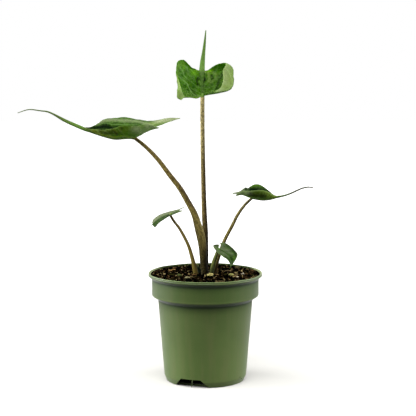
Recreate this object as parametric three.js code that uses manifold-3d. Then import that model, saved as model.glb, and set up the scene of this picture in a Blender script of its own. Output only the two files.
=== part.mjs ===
// A young Alocasia 'Stingray' in its 4 inch nursery pot.
// Millimetres, +Z up. The origin is the centre of the pot's underside; the plant's front faces -Y.
import * as THREE from "three";
import { mergeVertices } from "three/addons/utils/BufferGeometryUtils.js";
import Module from "manifold-3d";

const wasm = await Module();
wasm.setup();

// ---- driving dimensions -------------------------------------------------------------------

const GAP = 0.3; // clearance left between pieces that touch

const POT = {
  height: 97, // top of the lip
  lipR: 51, // outer radius of the rolled lip
  lipDepth: 2.5, // height of the lip's outer face
  lipFoot: 91.9, // height at which the slope under the lip meets the collar
  lipRound: 0.5, // rounding of its top corner
  mouthR: 49.9, // inner radius at the top, flaring out over the lip
  mouthFoot: 92.5, // height at which the flare starts
  collarR: 47.8,
  collarFoot: 77, // height at which the collar ends
  shoulderFoot: 73.4, // and at which its chamfer meets the wall
  wallTopR: 42.3,
  wallFootR: 37,
  wallFootZ: 5,
  baseR: 35.1,
  wall: 1, // wall thickness
  floor: 1.5, // floor thickness
  segments: 52,
};

const SLOT = {
  count: 3,
  turn: -21, // degrees from the front to the first slot's middle
  height: 7.4,
  halfTop: 9.3, // half width at its top edge
  halfFoot: 17, // and at the floor
  innerR: 28, // how far it reaches in under the pot
  web: 1, // thickness of the web that slants across its middle
  webHeel: 1.4, // height of the web where it leaves the floor
};

const SOIL = {
  level: 95.2, // mean height of the surface
  lump: 0.5, // height of the lumps
  waves: [[0.31, 0.17, 0], [-0.12, 0.43, 1.3]], // radians per millimetre along x and y, and at 0
  slopeTop: 9, // the lower edge slopes in from here, behind the drain slots
  rings: 8,
  segments: 36,
};

const LEAF = { thickness: 0.6, cellsPerRib: 2, cellsAcross: 4, tailSteps: 20, tailSides: 8 };
const STALK = { steps: 16, sides: 10 };
const SHOOT = { steps: 6, sides: 8 };

// How far a broken lump's corners are pushed in, as a share of its size, and how unevenly.
const CRUMB = { roughness: 0.18, scatter: 7.3 };

const WELD = 1e-4; // corners closer than this are one

const ROUGHNESS = { pot: 0.45, soil: 0.95, stalk: 0.5, leaf: 0.4, crumb: 0.9 };

// Each stalk: its centre line from the buried foot to the blade, and radii at even steps along it.
const STALKS = {
  petiole_top: {
    line: [[0, 5, 84], [0, 5, 98], [0, 5, 112], [0, 5, 132], [-1, 4, 154.5], [-2, 1.5, 197.5],
      [-2.5, 0, 233.5], [-2.5, 0, 252.4]],
    radii: [2.7, 2.7, 2.4, 2.1, 2.0, 1.9, 1.8],
    colour: 0x6e6344,
  },
  petiole_left: {
    line: [[-0.5, -4, 84], [-0.5, -4, 98], [-1.5, -4, 107], [-3, -4, 122.5], [-6.5, -4, 137.5],
      [-9.5, -4, 149.5], [-15, -4.5, 160.5], [-22.5, -5, 173.5], [-31, -5, 184.5], [-41.5, -5, 198.5],
      [-52, -5, 209.5], [-60.8, -5, 216.3]],
    radii: [3.3, 3.3, 3.3, 3.0, 2.6, 2.3, 2.0, 1.7, 1.4],
    colour: 0x6b683a,
  },
  petiole_right: {
    line: [[6, 1, 84], [7.5, 1, 95.5], [9.5, 1, 103], [12, 1, 112], [16.5, 1, 124], [19.5, 1, 130.5],
      [24, 1, 139], [29, 1, 149], [35.5, 0.5, 158], [40.8, 0, 163]],
    radii: [2.0, 2.0, 1.8, 1.6, 1.5, 1.3, 1.1],
    colour: 0x6a5f35,
  },
  petiole_small_left: {
    line: [[-8, 0, 84], [-9, 0, 97.5], [-12, 0, 111], [-15, 0, 121], [-19.5, 0, 130.5],
      [-23, 0, 137.5], [-27, 0, 143], [-29.6, 0, 148.3]],
    radii: [2.4, 2.3, 1.8, 1.5, 1.35, 1.2, 1.1],
    colour: 0x6f5f30,
  },
  petiole_small_right: {
    line: [[5.2, -8, 84], [5.7, -7.5, 98.5], [7.4, -7, 107], [9.2, -7.5, 112.5], [11.2, -8.7, 118]],
    radii: [2.1, 2.1, 1.9, 1.6, 1.3],
    colour: 0x8b9156,
  },
};

// Each blade: midrib from the stalk's joint forward, the tail that the tip runs out into, the
// radii of both at even steps, and two halves. A half has the inner edge of its hind lobe, from
// the lobe's tip towards the joint, and its margin, from the lobe's tip round to the tail. cup says
// how squarely the half turns up or down between midrib and margin; a rolled half gives the
// line of its belly instead.
const BLADES = {
  blade_top: {
    stalk: "petiole_top",
    boss: 2.4,
    midrib: [[-2.5, 0, 254.5], [-2.5, 7, 259.5], [-3, 13, 265], [-3, 18.5, 270.5], [-3, 22, 276]],
    tail: [[-2.5, 24, 284], [-1.5, 25, 292.5], [-0.5, 25, 301.5], [0, 24.5, 307], [0.5, 24, 312]],
    radii: [0.9, 0.9, 1.3, 2.7, 2.2, 1.5, 1.0, 0.5],
    halves: [
      {
        lobe: [[-17.5, -24, 255], [-13.5, -17, 254], [-7.5, -7, 252.5]],
        belly: [[-23.5, -36, 249.3], [-31.5, -33.5, 252.2], [-29, -20, 258], [-27, -6, 262],
          [-28.5, 4, 271], [-24.5, 12, 280], [-14.5, 19, 277], [-5, 22.5, 276]],
        margin: [[-17.7, -30.5, 254.7], [-19.9, -29, 259.7], [-22.3, -21, 266.5], [-25.4, -9, 276],
          [-24.2, 2, 284.2], [-18.7, 9, 285.6], [-12.3, 16, 279.3], [-6.5, 22, 276.5]],
      },
      {
        lobe: [[7.3, -25.5, 260], [3.5, -12, 257.5]],
        belly: [[8, -29, 257], [26.5, -30, 258.7], [39, -15, 261.5], [41, 2, 269], [34.5, 13, 278],
          [15, 19, 275], [-0.5, 22.5, 276]],
        margin: [[9, -27, 260], [13, -24, 262], [15.5, -14, 268.5], [15.5, -5, 276.5], [18, 4, 283],
          [9.5, 14, 281.5], [1.5, 22, 276]],
      },
    ],
    colour: 0x4f7a2c,
  },
  blade_left: {
    stalk: "petiole_left",
    boss: 2,
    midrib: [[-62.5, -5, 217.5], [-70.5, -5, 217.5], [-79.5, -5, 217], [-88, -5, 219],
      [-95, -6, 221.5], [-101, -7, 224], [-106.5, -8, 226]],
    tail: [[-114, -9, 229.3], [-122.5, -10, 233.2], [-135.5, -12, 240.4], [-144, -12, 242],
      [-154, -12, 243], [-164, -10, 240]],
    radii: [0.9, 0.9, 0.9, 1.1, 1.5, 1.3, 0.9, 0.7, 0.55, 0.45, 0.35],
    halves: [
      {
        lobe: [[-40, -19, 227.5], [-50, -12, 224]],
        margin: [[-39.5, -20, 227.5], [-48.5, -22, 230.5], [-60, -25, 229.5], [-71, -26, 229.8],
          [-79.7, -24.5, 227.3], [-87.9, -20, 226], [-94.5, -14, 225.8], [-101.5, -9, 226],
          [-106.5, -8.8, 226.7]],
        cup: 0.85,
      },
      {
        lobe: [[-23, 13, 234], [-36.5, 7, 229.6], [-49, -1, 225]],
        belly: [[-22.7, 13.4, 233.8], [-34.5, 11, 231], [-48, 5, 229], [-61, 0, 228.5],
          [-71, 0, 229.5], [-81, -1, 230], [-89.5, -2, 229.5], [-95.5, -3, 227], [-100.8, -5, 226],
          [-106.5, -7.6, 226.6]],
        margin: [[-22.5, 13.8, 234.2], [-34, 15, 234], [-47, 18, 231.5], [-59.5, 18, 232.5],
          [-72, 18, 234.5], [-82.5, 16, 234], [-90.5, 11, 233], [-96, 5, 229.5], [-100.5, -2, 227.5],
          [-106.5, -7, 227]],
      },
    ],
    colour: 0x4d7530,
  },
  blade_right: {
    stalk: "petiole_right",
    boss: 1.7,
    midrib: [[41.5, 0, 164], [47, 0, 163], [52, 0, 162.5], [57.5, 0, 163], [63, 0, 164.5],
      [67.5, 0, 165.5]],
    tail: [[71.5, 0, 166.5], [76.5, -1, 168.5], [81.5, -2, 171], [86, -3, 173], [91, -3, 174],
      [95.5, -3, 173.5]],
    radii: [1.0, 1.0, 0.9, 0.8, 0.6, 0.5, 0.4, 0.35],
    halves: [
      {
        lobe: [[27.5, -11, 167.3], [32.5, -7, 167.5], [37.5, -3, 165.5]],
        margin: [[26.5, -11.5, 168], [32, -14, 171.5], [37.5, -16, 172], [42, -17, 172.5],
          [47, -17, 173], [51.5, -15, 172.5], [56.5, -9, 170], [61.5, -4, 166.5], [67.5, -0.8, 166]],
        cup: 0.85,
      },
      {
        lobe: [[24.5, 5, 167.2], [28.5, 4.5, 167], [33, 3.5, 166.8], [37, 2, 166]],
        margin: [[24, 5.5, 167.8], [30.5, 9, 169], [36, 13, 172], [38.5, 14, 171], [43, 16, 174],
          [48, 16, 174.5], [52.5, 14, 172.5], [57.5, 9, 169], [62, 4, 166], [67.5, 0.8, 166]],
        cup: 0.4,
      },
    ],
    colour: 0x4a6f2a,
  },
  blade_small_left: {
    stalk: "petiole_small_left",
    boss: 1.4,
    midrib: [[-30, 0, 149.5], [-35.5, -0.5, 147.5], [-41, -1.5, 145], [-45, -2.5, 142.5],
      [-46.5, -3, 141]],
    tail: [[-47.5, -3, 140.5], [-48, -3.5, 139], [-47.5, -4, 138]],
    radii: [0.8, 0.8, 0.7, 0.6, 0.35],
    halves: [
      {
        lobe: [[-20.5, -6, 153.5], [-25, -4, 153]],
        margin: [[-20, -6.5, 153], [-24, -9, 152], [-30, -12, 150], [-35.5, -13, 147],
          [-40.5, -12, 143.5], [-44.5, -9, 139], [-47, -4.5, 140.5]],
        cup: 0.7,
      },
      {
        lobe: [[-18.5, 6, 155], [-25, 3, 152]],
        margin: [[-18, 6.5, 155.5], [-25, 9, 152.5], [-32, 12, 150.5], [-38, 13, 148.5],
          [-43, 11, 146.5], [-46.5, 6, 144], [-47.5, -1, 142]],
        cup: 0.15,
      },
    ],
    colour: 0x6f8a5c,
  },
  blade_small_right: {
    stalk: "petiole_small_right",
    boss: 1.6,
    midrib: [[11.5, -9, 119.5], [15.5, -13, 118], [19, -17, 116], [21.5, -21, 112.5],
      [22.5, -24, 108.5], [22.5, -25, 107]],
    tail: [[22, -25.5, 106], [21.5, -25.5, 105]],
    radii: [0.8, 0.8, 0.7, 0.6, 0.35],
    halves: [
      {
        lobe: [[12.2, -8.8, 123.6], [12, -8.6, 121.4]],
        margin: [[9.5, -10, 123.9], [7, -11, 123], [8, -13, 120.5], [11, -17, 117.5],
          [15, -21, 115], [19.5, -24.5, 112.5], [21.5, -25, 109.5], [22, -25.5, 107]],
        cup: 0.2,
      },
      {
        lobe: [[14, -7.5, 122.5], [13.5, -8, 121]],
        margin: [[13, -6, 124.5], [17, -4, 124.5], [21, -5, 122.5], [25.5, -9, 119],
          [28.5, -13, 115.5], [27.5, -18, 112.5], [24.5, -22.5, 108.5], [23.2, -24.6, 107]],
        cup: 0.2,
      },
    ],
    colour: 0x4f7d3c,
  },
};

// Pieces that lie on the soil: place, size along, across and up, and the turn of the long side.
const CRUMBS = {
  bark_front: { at: [4.2, -13.6], size: [7, 4.6, 3], turn: 20, colour: 0xb9a382 },
  bark_right: { at: [23.1, -12], size: [5.5, 3.6, 2.6], turn: -15, colour: 0xb7b98c },
  bark_back: { at: [29.7, 26], size: [6, 3, 2.4], turn: 30, colour: 0x8d6f48 },
  bark_left: { at: [-22.8, -13.5], size: [6, 3.4, 2.4], turn: -30, colour: 0x7b7448 },
  bark_edge: { at: [-15.7, -26], size: [4.6, 3, 2.2], turn: 10, colour: 0xc4b08c },
  perlite_right: { at: [33.5, -6], size: [2.6, 2.4, 2], turn: 0, colour: 0xeae7dd },
  perlite_front: { at: [28.5, -21], size: [2.2, 2, 1.8], turn: 40, colour: 0xe6e2d6 },
  twig_left: { at: [-30, 17], size: [11, 1.1, 1.1], turn: 55, colour: 0x9c7a48 },
  twig_middle: { at: [21, 12.6], size: [9, 1.1, 1.1], turn: -20, colour: 0xa98a5a },
};

// ---- shared shapes ------------------------------------------------------------------------

const group = new THREE.Group();

function place(name, geometry, colour, roughness) {
  const material = new THREE.MeshStandardMaterial({ color: colour, roughness, metalness: 0 });
  const mesh = new THREE.Mesh(geometry, material);
  mesh.name = name;
  group.add(mesh);
}

// Positions only, with shared corners merged, so that the shape is one closed surface.
function closed(geometry) {
  geometry.deleteAttribute("normal");
  geometry.deleteAttribute("uv");
  return mergeVertices(geometry, WELD);
}

function toSolid(geometry) {
  return new wasm.Manifold(
    new wasm.Mesh({
      numProp: 3,
      vertProperties: new Float32Array(geometry.attributes.position.array),
      triVerts: new Uint32Array(geometry.index.array),
    }),
  );
}

function toGeometry(solid) {
  const mesh = solid.getMesh();
  const geometry = new THREE.BufferGeometry();
  geometry.setAttribute("position", new THREE.BufferAttribute(mesh.vertProperties, 3));
  geometry.setIndex(new THREE.BufferAttribute(mesh.triVerts, 1));
  return geometry;
}

// A smooth line through its points; its parameter runs evenly from point to point.
function smooth(points) {
  return new THREE.CatmullRomCurve3(points.map((p) => new THREE.Vector3(...p)), false, "catmullrom");
}

function valueAlong(values, t) {
  const s = t * (values.length - 1);
  const i = Math.min(Math.floor(s), values.length - 2);
  return THREE.MathUtils.lerp(values[i], values[i + 1], s - i);
}

// A straight round bar of unit radius, bent along the line and given its radius step by step.
function taperedTube(line, radii, steps, sides, extra = 0) {
  const circle = new THREE.Shape().absarc(0, 0, 1, 0, 2 * Math.PI);
  const bar = closed(
    new THREE.ExtrudeGeometry(circle, { depth: 1, steps, curveSegments: sides / 2, bevelEnabled: false }),
  );
  const curve = smooth(line);
  const { normals, binormals } = curve.computeFrenetFrames(steps, false);
  const position = bar.attributes.position;
  for (let i = 0; i < position.count; i++) {
    const t = position.getZ(i);
    const step = Math.round(t * steps);
    const radius = valueAlong(radii, t) + extra;
    const point = curve.getPointAt(t);
    point.addScaledVector(normals[step], position.getX(i) * radius);
    point.addScaledVector(binormals[step], position.getY(i) * radius);
    position.setXYZ(i, point.x, point.y, point.z);
  }
  return bar;
}

function stem({ line, radii }, { steps, sides }, extra = 0) {
  return taperedTube(line, radii, steps, sides, extra);
}

// ---- pot ----------------------------------------------------------------------------------

// The pot as turned, before its drain slots: up the outside, over the lip and down the inside.
function potBody() {
  const { height, lipR, lipDepth, lipFoot, lipRound, mouthR, mouthFoot, collarR, collarFoot } = POT;
  const { shoulderFoot, wallTopR, wallFootR, wallFootZ, baseR, wall, floor } = POT;
  const profile = [
    [0, 0],
    [baseR, 0],
    [wallFootR, wallFootZ],
    [wallTopR, shoulderFoot],
    [collarR, collarFoot],
    [collarR, lipFoot],
    [lipR, height - lipDepth],
    [lipR, height - lipRound],
    [lipR - lipRound, height],
    [mouthR, height],
    [collarR - wall, mouthFoot],
    [collarR - wall, collarFoot],
    [wallTopR - wall, shoulderFoot],
    [wallFootR - wall, wallFootZ],
    [baseR - wall, floor],
    [0, floor],
  ].map(([r, z]) => new THREE.Vector2(r, z));
  return closed(new THREE.LatheGeometry(profile, POT.segments).rotateX(Math.PI / 2));
}

// Turns a shape that was made at the front to its place round the pot.
function turned(geometry, degrees) {
  return closed(geometry.rotateZ(THREE.MathUtils.degToRad(degrees)));
}

// A drain slot: it opens the foot of the wall and the floor behind it.
function slotCutter(degrees) {
  const { height, halfTop, halfFoot, innerR } = SLOT;
  const below = 1;
  const outline = new THREE.Shape([
    new THREE.Vector2(-halfFoot, -below),
    new THREE.Vector2(halfFoot, -below),
    new THREE.Vector2(halfTop, height),
    new THREE.Vector2(-halfTop, height),
  ]);
  const reach = POT.wallTopR - innerR;
  const cutter = new THREE.ExtrudeGeometry(outline, { depth: reach, bevelEnabled: false });
  return turned(cutter.rotateX(Math.PI / 2).translate(0, -innerR, 0), degrees);
}

// The thin web across a slot's middle, slanting from the floor's edge up to the wall.
function slotWeb(degrees) {
  const { innerR, height, web, webHeel } = SLOT;
  const { floor, wallFootR, wall } = POT;
  const outline = new THREE.Shape([
    new THREE.Vector2(innerR - floor, 0),
    new THREE.Vector2(innerR + floor, 0),
    new THREE.Vector2(wallFootR, height),
    new THREE.Vector2(wallFootR, height + wall / 2),
    new THREE.Vector2(wallFootR - wall, height),
    new THREE.Vector2(innerR - floor, webHeel),
  ]);
  const slice = new THREE.ExtrudeGeometry(outline, { depth: web, bevelEnabled: false });
  slice.rotateX(Math.PI / 2).rotateZ(-Math.PI / 2).translate(-web / 2, 0, 0);
  return turned(slice, degrees);
}

function pot() {
  let solid = toSolid(potBody());
  for (let i = 0; i < SLOT.count; i++) {
    const degrees = SLOT.turn + (i * 360) / SLOT.count;
    solid = solid.subtract(toSolid(slotCutter(degrees))).add(toSolid(slotWeb(degrees)));
  }
  return toGeometry(solid);
}

// ---- soil and what lies on it -------------------------------------------------------------

// The pot's inner radius at a height.
function innerRadius(z) {
  const { wall, wallFootR, wallFootZ, wallTopR, shoulderFoot, collarR, collarFoot } = POT;
  const between = THREE.MathUtils.mapLinear;
  if (z > POT.mouthFoot) return between(z, POT.mouthFoot, POT.height, collarR - wall, POT.mouthR);
  if (z > collarFoot) return collarR - wall;
  if (z > shoulderFoot) return between(z, shoulderFoot, collarFoot, wallTopR, collarR) - wall;
  return between(z, wallFootZ, shoulderFoot, wallFootR, wallTopR) - wall;
}

function soilHeight(x, y) {
  const heights = SOIL.waves.map(([alongX, alongY, shift]) => Math.sin(alongX * x + alongY * y + shift));
  return SOIL.level + SOIL.lump * (heights.reduce((sum, height) => sum + height) / heights.length);
}

// The mix fills the pot, with a lumpy surface. Behind the drain slots its lower edge slopes in.
function soilBody() {
  const { level, lump, slopeTop, rings, segments } = SOIL;
  const clearance = 1.5 * GAP; // enough for the flats of both round shapes
  const bottom = POT.floor + GAP;
  const profile = [new THREE.Vector2(0, bottom), new THREE.Vector2(SLOT.innerR - 1, bottom)];
  for (const z of [slopeTop, POT.shoulderFoot, POT.collarFoot, POT.mouthFoot]) {
    profile.push(new THREE.Vector2(innerRadius(z) - clearance, z));
  }
  const edge = innerRadius(level - lump) - clearance;
  for (let i = 0; i <= rings; i++) profile.push(new THREE.Vector2((edge * (rings - i)) / rings, level));
  const body = closed(new THREE.LatheGeometry(profile, segments).rotateX(Math.PI / 2));
  const position = body.attributes.position;
  for (let i = 0; i < position.count; i++) {
    if (position.getZ(i) < level - lump) continue;
    position.setZ(i, soilHeight(position.getX(i), position.getY(i)));
  }
  return body;
}

function soil() {
  let solid = toSolid(soilBody());
  for (const stalk of Object.values(STALKS)) solid = solid.subtract(toSolid(stem(stalk, STALK, GAP)));
  for (const shoot of Object.values(SHOOTS)) solid = solid.subtract(toSolid(stem(shoot, SHOOT, GAP)));
  return toGeometry(solid);
}

// A broken lump: a faceted ball stretched to size, its corners pushed in by uneven amounts.
function crumb({ at: [x, y], size, turn }) {
  const lump = closed(new THREE.IcosahedronGeometry(0.5, 1));
  const position = lump.attributes.position;
  const corner = new THREE.Vector3();
  for (let i = 0; i < position.count; i++) {
    const push = 0.5 + 0.5 * Math.sin(CRUMB.scatter * i + x);
    corner.fromBufferAttribute(position, i).multiplyScalar(1 - CRUMB.roughness * push);
    position.setXYZ(i, ...corner);
  }
  lump.scale(...size).rotateZ(THREE.MathUtils.degToRad(turn));
  return lump.translate(x, y, SOIL.level + SOIL.lump + size[2] / 2);
}

// ---- plant --------------------------------------------------------------------------------

// The withered bud scale beside the main stalk and the new shoot behind it.
const SHOOTS = {
  cataphyll: {
    line: [[4.3, 5, 87], [4.3, 5, 95], [4.4, 5, 101], [4.8, 5, 105]],
    radii: [1.1, 1.2, 1.1, 0.8, 0.4],
    colour: 0x2c3a1c,
  },
  sprout: {
    line: [[-5.5, 9, 88], [-5.5, 9, 96], [-6.5, 8.5, 101], [-8.2, 8, 103.5]],
    radii: [1.2, 1.3, 1.3, 1.1, 0.5],
    colour: 0x4c7a2a,
  },
};

// Middle line of a half, between its inner edge and its margin. A cup of 1 goes level with the
// inner edge and then turns straight to the margin; 0 runs there directly.
function bellyLine(inner, margin, cup) {
  return inner.map(([x, y, z], i) => {
    const [mx, my, mz] = margin[i];
    const flat = 0.5 * (1 - cup);
    return [(x + mx) / 2, y * flat + my * (1 - flat), mz * flat + z * (1 - flat)];
  });
}

// A half of the blade: a flat slab of cells, bent across its inner edge, belly and margin.
function halfBlade({ lobe, margin, belly, cup }, midrib) {
  const inner = [...lobe, ...midrib];
  const lines = [inner, belly ?? bellyLine(inner, margin, cup), margin].map(smooth);
  const point = (u, v) => {
    const [a, b, c] = lines.map((line) => line.getPoint(THREE.MathUtils.clamp(u, 0, 1)));
    const spot = new THREE.Vector3().addScaledVector(a, (1 - v) ** 2);
    return spot.addScaledVector(b, 2 * v * (1 - v)).addScaledVector(c, v * v);
  };
  const cellsAlong = LEAF.cellsPerRib * (inner.length - 1);
  const slab = closed(new THREE.BoxGeometry(1, 1, 1, cellsAlong, LEAF.cellsAcross, 1));
  const position = slab.attributes.position;
  const step = 1e-3;
  for (let i = 0; i < position.count; i++) {
    const u = position.getX(i) + 0.5;
    const v = position.getY(i) + 0.5;
    const along = point(Math.min(u + step, 1), v).sub(point(Math.max(u - step, 0), v));
    const across = point(u, v + step).sub(point(u, v - step));
    const normal = along.cross(across).normalize();
    const spot = point(u, v).addScaledVector(normal, position.getZ(i) * LEAF.thickness);
    position.setXYZ(i, spot.x, spot.y, spot.z);
  }
  return slab;
}

function blade({ stalk, boss, midrib, tail, radii, halves }) {
  const knuckle = closed(new THREE.IcosahedronGeometry(boss, 1)).translate(...midrib[0]);
  const rib = taperedTube([...midrib, ...tail], radii, LEAF.tailSteps, LEAF.tailSides);
  let solid = toSolid(rib).add(toSolid(knuckle));
  for (const half of halves) solid = solid.add(toSolid(halfBlade(half, midrib)));
  return toGeometry(solid.subtract(toSolid(stem(STALKS[stalk], STALK, GAP))));
}

// ---- assembly -----------------------------------------------------------------------------

place("pot", pot(), 0x4c5b32, ROUGHNESS.pot);
place("soil", soil(), 0x2a1f18, ROUGHNESS.soil);
for (const [name, parts] of Object.entries({ ...STALKS, ...SHOOTS })) {
  place(name, stem(parts, name in STALKS ? STALK : SHOOT), parts.colour, ROUGHNESS.stalk);
}
for (const [name, parts] of Object.entries(BLADES)) place(name, blade(parts), parts.colour, ROUGHNESS.leaf);
for (const [name, parts] of Object.entries(CRUMBS)) place(name, crumb(parts), parts.colour, ROUGHNESS.crumb);

export default group;
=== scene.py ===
# Looks of a young Alocasia 'Stingray' in its nursery pot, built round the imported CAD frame.
# Shapes are given in millimetres, in the frame's own axes, and scaled to metres in make_piece.
import math
import random

import bmesh
import bpy
import numpy as np
from mathutils import Euler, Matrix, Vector, noise


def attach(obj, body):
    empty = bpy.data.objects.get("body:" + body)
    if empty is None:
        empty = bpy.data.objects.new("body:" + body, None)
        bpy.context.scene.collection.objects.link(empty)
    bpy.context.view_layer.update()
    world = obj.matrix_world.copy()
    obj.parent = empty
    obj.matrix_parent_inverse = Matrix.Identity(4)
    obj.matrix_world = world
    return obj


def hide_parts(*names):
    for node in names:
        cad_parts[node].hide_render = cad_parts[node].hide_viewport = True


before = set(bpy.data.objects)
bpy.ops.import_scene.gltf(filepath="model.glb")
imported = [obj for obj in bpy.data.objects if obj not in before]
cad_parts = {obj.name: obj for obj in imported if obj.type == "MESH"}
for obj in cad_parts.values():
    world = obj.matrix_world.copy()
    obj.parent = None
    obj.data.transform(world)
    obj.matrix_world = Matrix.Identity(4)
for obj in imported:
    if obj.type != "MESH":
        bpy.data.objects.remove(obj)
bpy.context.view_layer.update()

MM = 0.001
RANDOM = random.Random(7)

# ---- measurements -------------------------------------------------------------------------

# The collar is the wide band under the lip, and the mouth is the flare inside the lip.
POT = {
    "height": 97, "lip_r": 51, "lip_depth": 2.5, "lip_foot": 91.9, "mouth_r": 49.9,
    "mouth_foot": 92.5, "collar_r": 47.8, "collar_foot": 77, "shoulder_foot": 73.4,
    "wall_top_r": 42.3, "wall_foot_r": 37, "wall_foot_z": 5, "base_r": 35.1, "wall": 1,
    "floor": 1.5,
}
POT_SIDES = 240
CORNER_R = 0.7
LIP_RIPPLE = {"height": 0.35, "per_mm": 0.05}
# The drain slots in the foot, each with a thin web that the mould leaves standing.
SLOT = {
    "count": 3, "turn": -21, "height": 7.4, "half_top": 9.3, "half_foot": 17, "corner_r": 0.8,
    "inner_r": 28, "depth": 12, "web_x": 1.2, "web_lean": 1.4, "web_width": 0.55, "web_depth": 0.9,
}
# Flakes of plastic left at the lip, the collar and the slots: radius, degrees, height and size.
BURRS = [
    (36, 4.5, 5.2, 1.1), (38, 54, 6.6, 1), (37, 60, 4.2, 1), (36.8, -80, 6, 1),
    (50.9, 96, 94.6, 1.2), (51, 99, 96, 0.8), (48, -54, 89, 0.6), (48, 68, 91, 0.6),
    (50.8, -97, 95.5, 0.7), (37.5, 150, 6.8, 1), (36.5, -120, 5.6, 1.1),
]

SOIL_LEVEL = 95.3
SOIL_EDGE = 48.7
SOIL_FOOT = 1.8
SOIL_SIDE = [(27, SOIL_FOOT), (35.5, 9), (40.8, 73), (46.2, 77), (46.2, 92.5)]  # radius, height
SOIL_RINGS, SOIL_SIDES = 46, 150
SOIL_LUMPS = {"wide": 0.09, "fine": 0.3, "height": 0.9}  # noise per mm, and its height
PILE = {"from_r": 36, "over": 12, "height": 1.1}  # the mix rises towards the wall
CRUMBS = {"count": 3600, "big_share": 0.08, "big": (2, 3.8), "small": (0.7, 1.8)}
# Where the mix is darker: all of its front, as painted shade behind the lip, and a strip
# before the stalks.
SOIL_DIMMING = {"front": -32, "middle": -10, "x": -4, "half_width": 20, "dimmed": 0.3, "dry": 0.85}

# Stalks: centre line from the soil to the blade, and radii at even steps. sheath is a swelling on
# one side: its place along the stalk, its reach and its share of the radius. green is how far
# below the blade the stalk is leaf green, mottle how strongly its bands show, reach the share of
# the height that has the foot's colour, and gloom how far painted shade darkens the foot. The
# dark colour is that of the mottles and also of the painted shade on one side.
STALKS = {
    "petiole_top": {
        "line": [
            (0, 5, 84), (0, 5, 98), (0, 5, 112), (0, 5, 132), (-1, 4, 154.5), (-2, 1.5, 197.5),
            (-2.5, 0, 233.5), (-2.5, 0, 253),
        ],
        "radii": [2.7, 2.7, 2.4, 2.1, 2, 1.9, 1.8],
        "green": 7, "light": (110, 96, 54), "dark": (32, 21, 10), "foot": (14, 10, 3),
        "tip": (158, 146, 98), "mottle": 0.75, "reach": 0.3, "gloom": 0.5,
    },
    "petiole_left": {
        "line": [
            (-0.5, -4, 84), (-0.5, -4, 98), (-1.5, -4, 107), (-3, -4, 122.5), (-6.5, -4, 137.5),
            (-9.5, -4, 149.5), (-15, -4.5, 160.5), (-22.5, -5, 173.5), (-31, -5, 184.5),
            (-41.5, -5, 198.5), (-52, -5, 209.5), (-61.5, -5, 217.2),
        ],
        "radii": [3.3, 3.3, 3.3, 3, 2.6, 2.3, 2, 1.7, 1.4],
        "sheath": (50, 13, 0.4), "light": (108, 97, 50), "dark": (46, 34, 14), "foot": (18, 14, 4),
        "tip": (118, 104, 54), "mottle": 0.8, "reach": 0.34, "gloom": 0.5,
    },
    "petiole_right": {
        "line": [
            (6, 1, 84), (7.5, 1, 95.5), (9.5, 1, 103), (12, 1, 112), (16.5, 1, 124),
            (19.5, 1, 130.5), (24, 1, 139), (29, 1, 149), (35.5, 0.5, 158), (41.3, 0, 163.6),
        ],
        "radii": [2, 2, 1.8, 1.6, 1.5, 1.3, 1.1],
        "light": (116, 108, 58), "dark": (50, 40, 16), "foot": (30, 20, 8), "tip": (112, 104, 60),
        "mottle": 0.95,
    },
    "petiole_small_left": {
        "line": [
            (-8, 0, 84), (-9, 0, 97.5), (-12, 0, 111), (-15, 0, 121), (-19.5, 0, 130.5),
            (-23.6, 0, 137.5), (-27.8, 0, 143), (-31, 0, 148.5),
        ],
        "radii": [2.4, 2.3, 1.8, 1.5, 1.35, 1.2, 1.1],
        "light": (98, 88, 42), "dark": (80, 68, 34), "foot": (68, 58, 22), "tip": (112, 98, 60),
        "mottle": 0.5,
    },
    "petiole_small_right": {
        "line": [
            (5.2, -8, 84), (5.7, -7.5, 98.5), (7.4, -7, 107), (9.2, -7.5, 112.5), (11.2, -8.7, 118),
        ],
        "radii": [2.1, 2.1, 1.9, 1.6, 1.3],
        "light": (92, 98, 48), "dark": (40, 44, 18), "foot": (30, 34, 14), "tip": (112, 118, 70),
        "mottle": 0.6, "reach": 0.5, "gloom": 0.55,
    },
}
STALK_DEFAULTS = {"green": 4.5, "sheath": (0, 1, 0), "reach": 0.2, "gloom": 1}
STALK_TAPER = 4.5  # length over which a stalk's end narrows inside its blade
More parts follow.
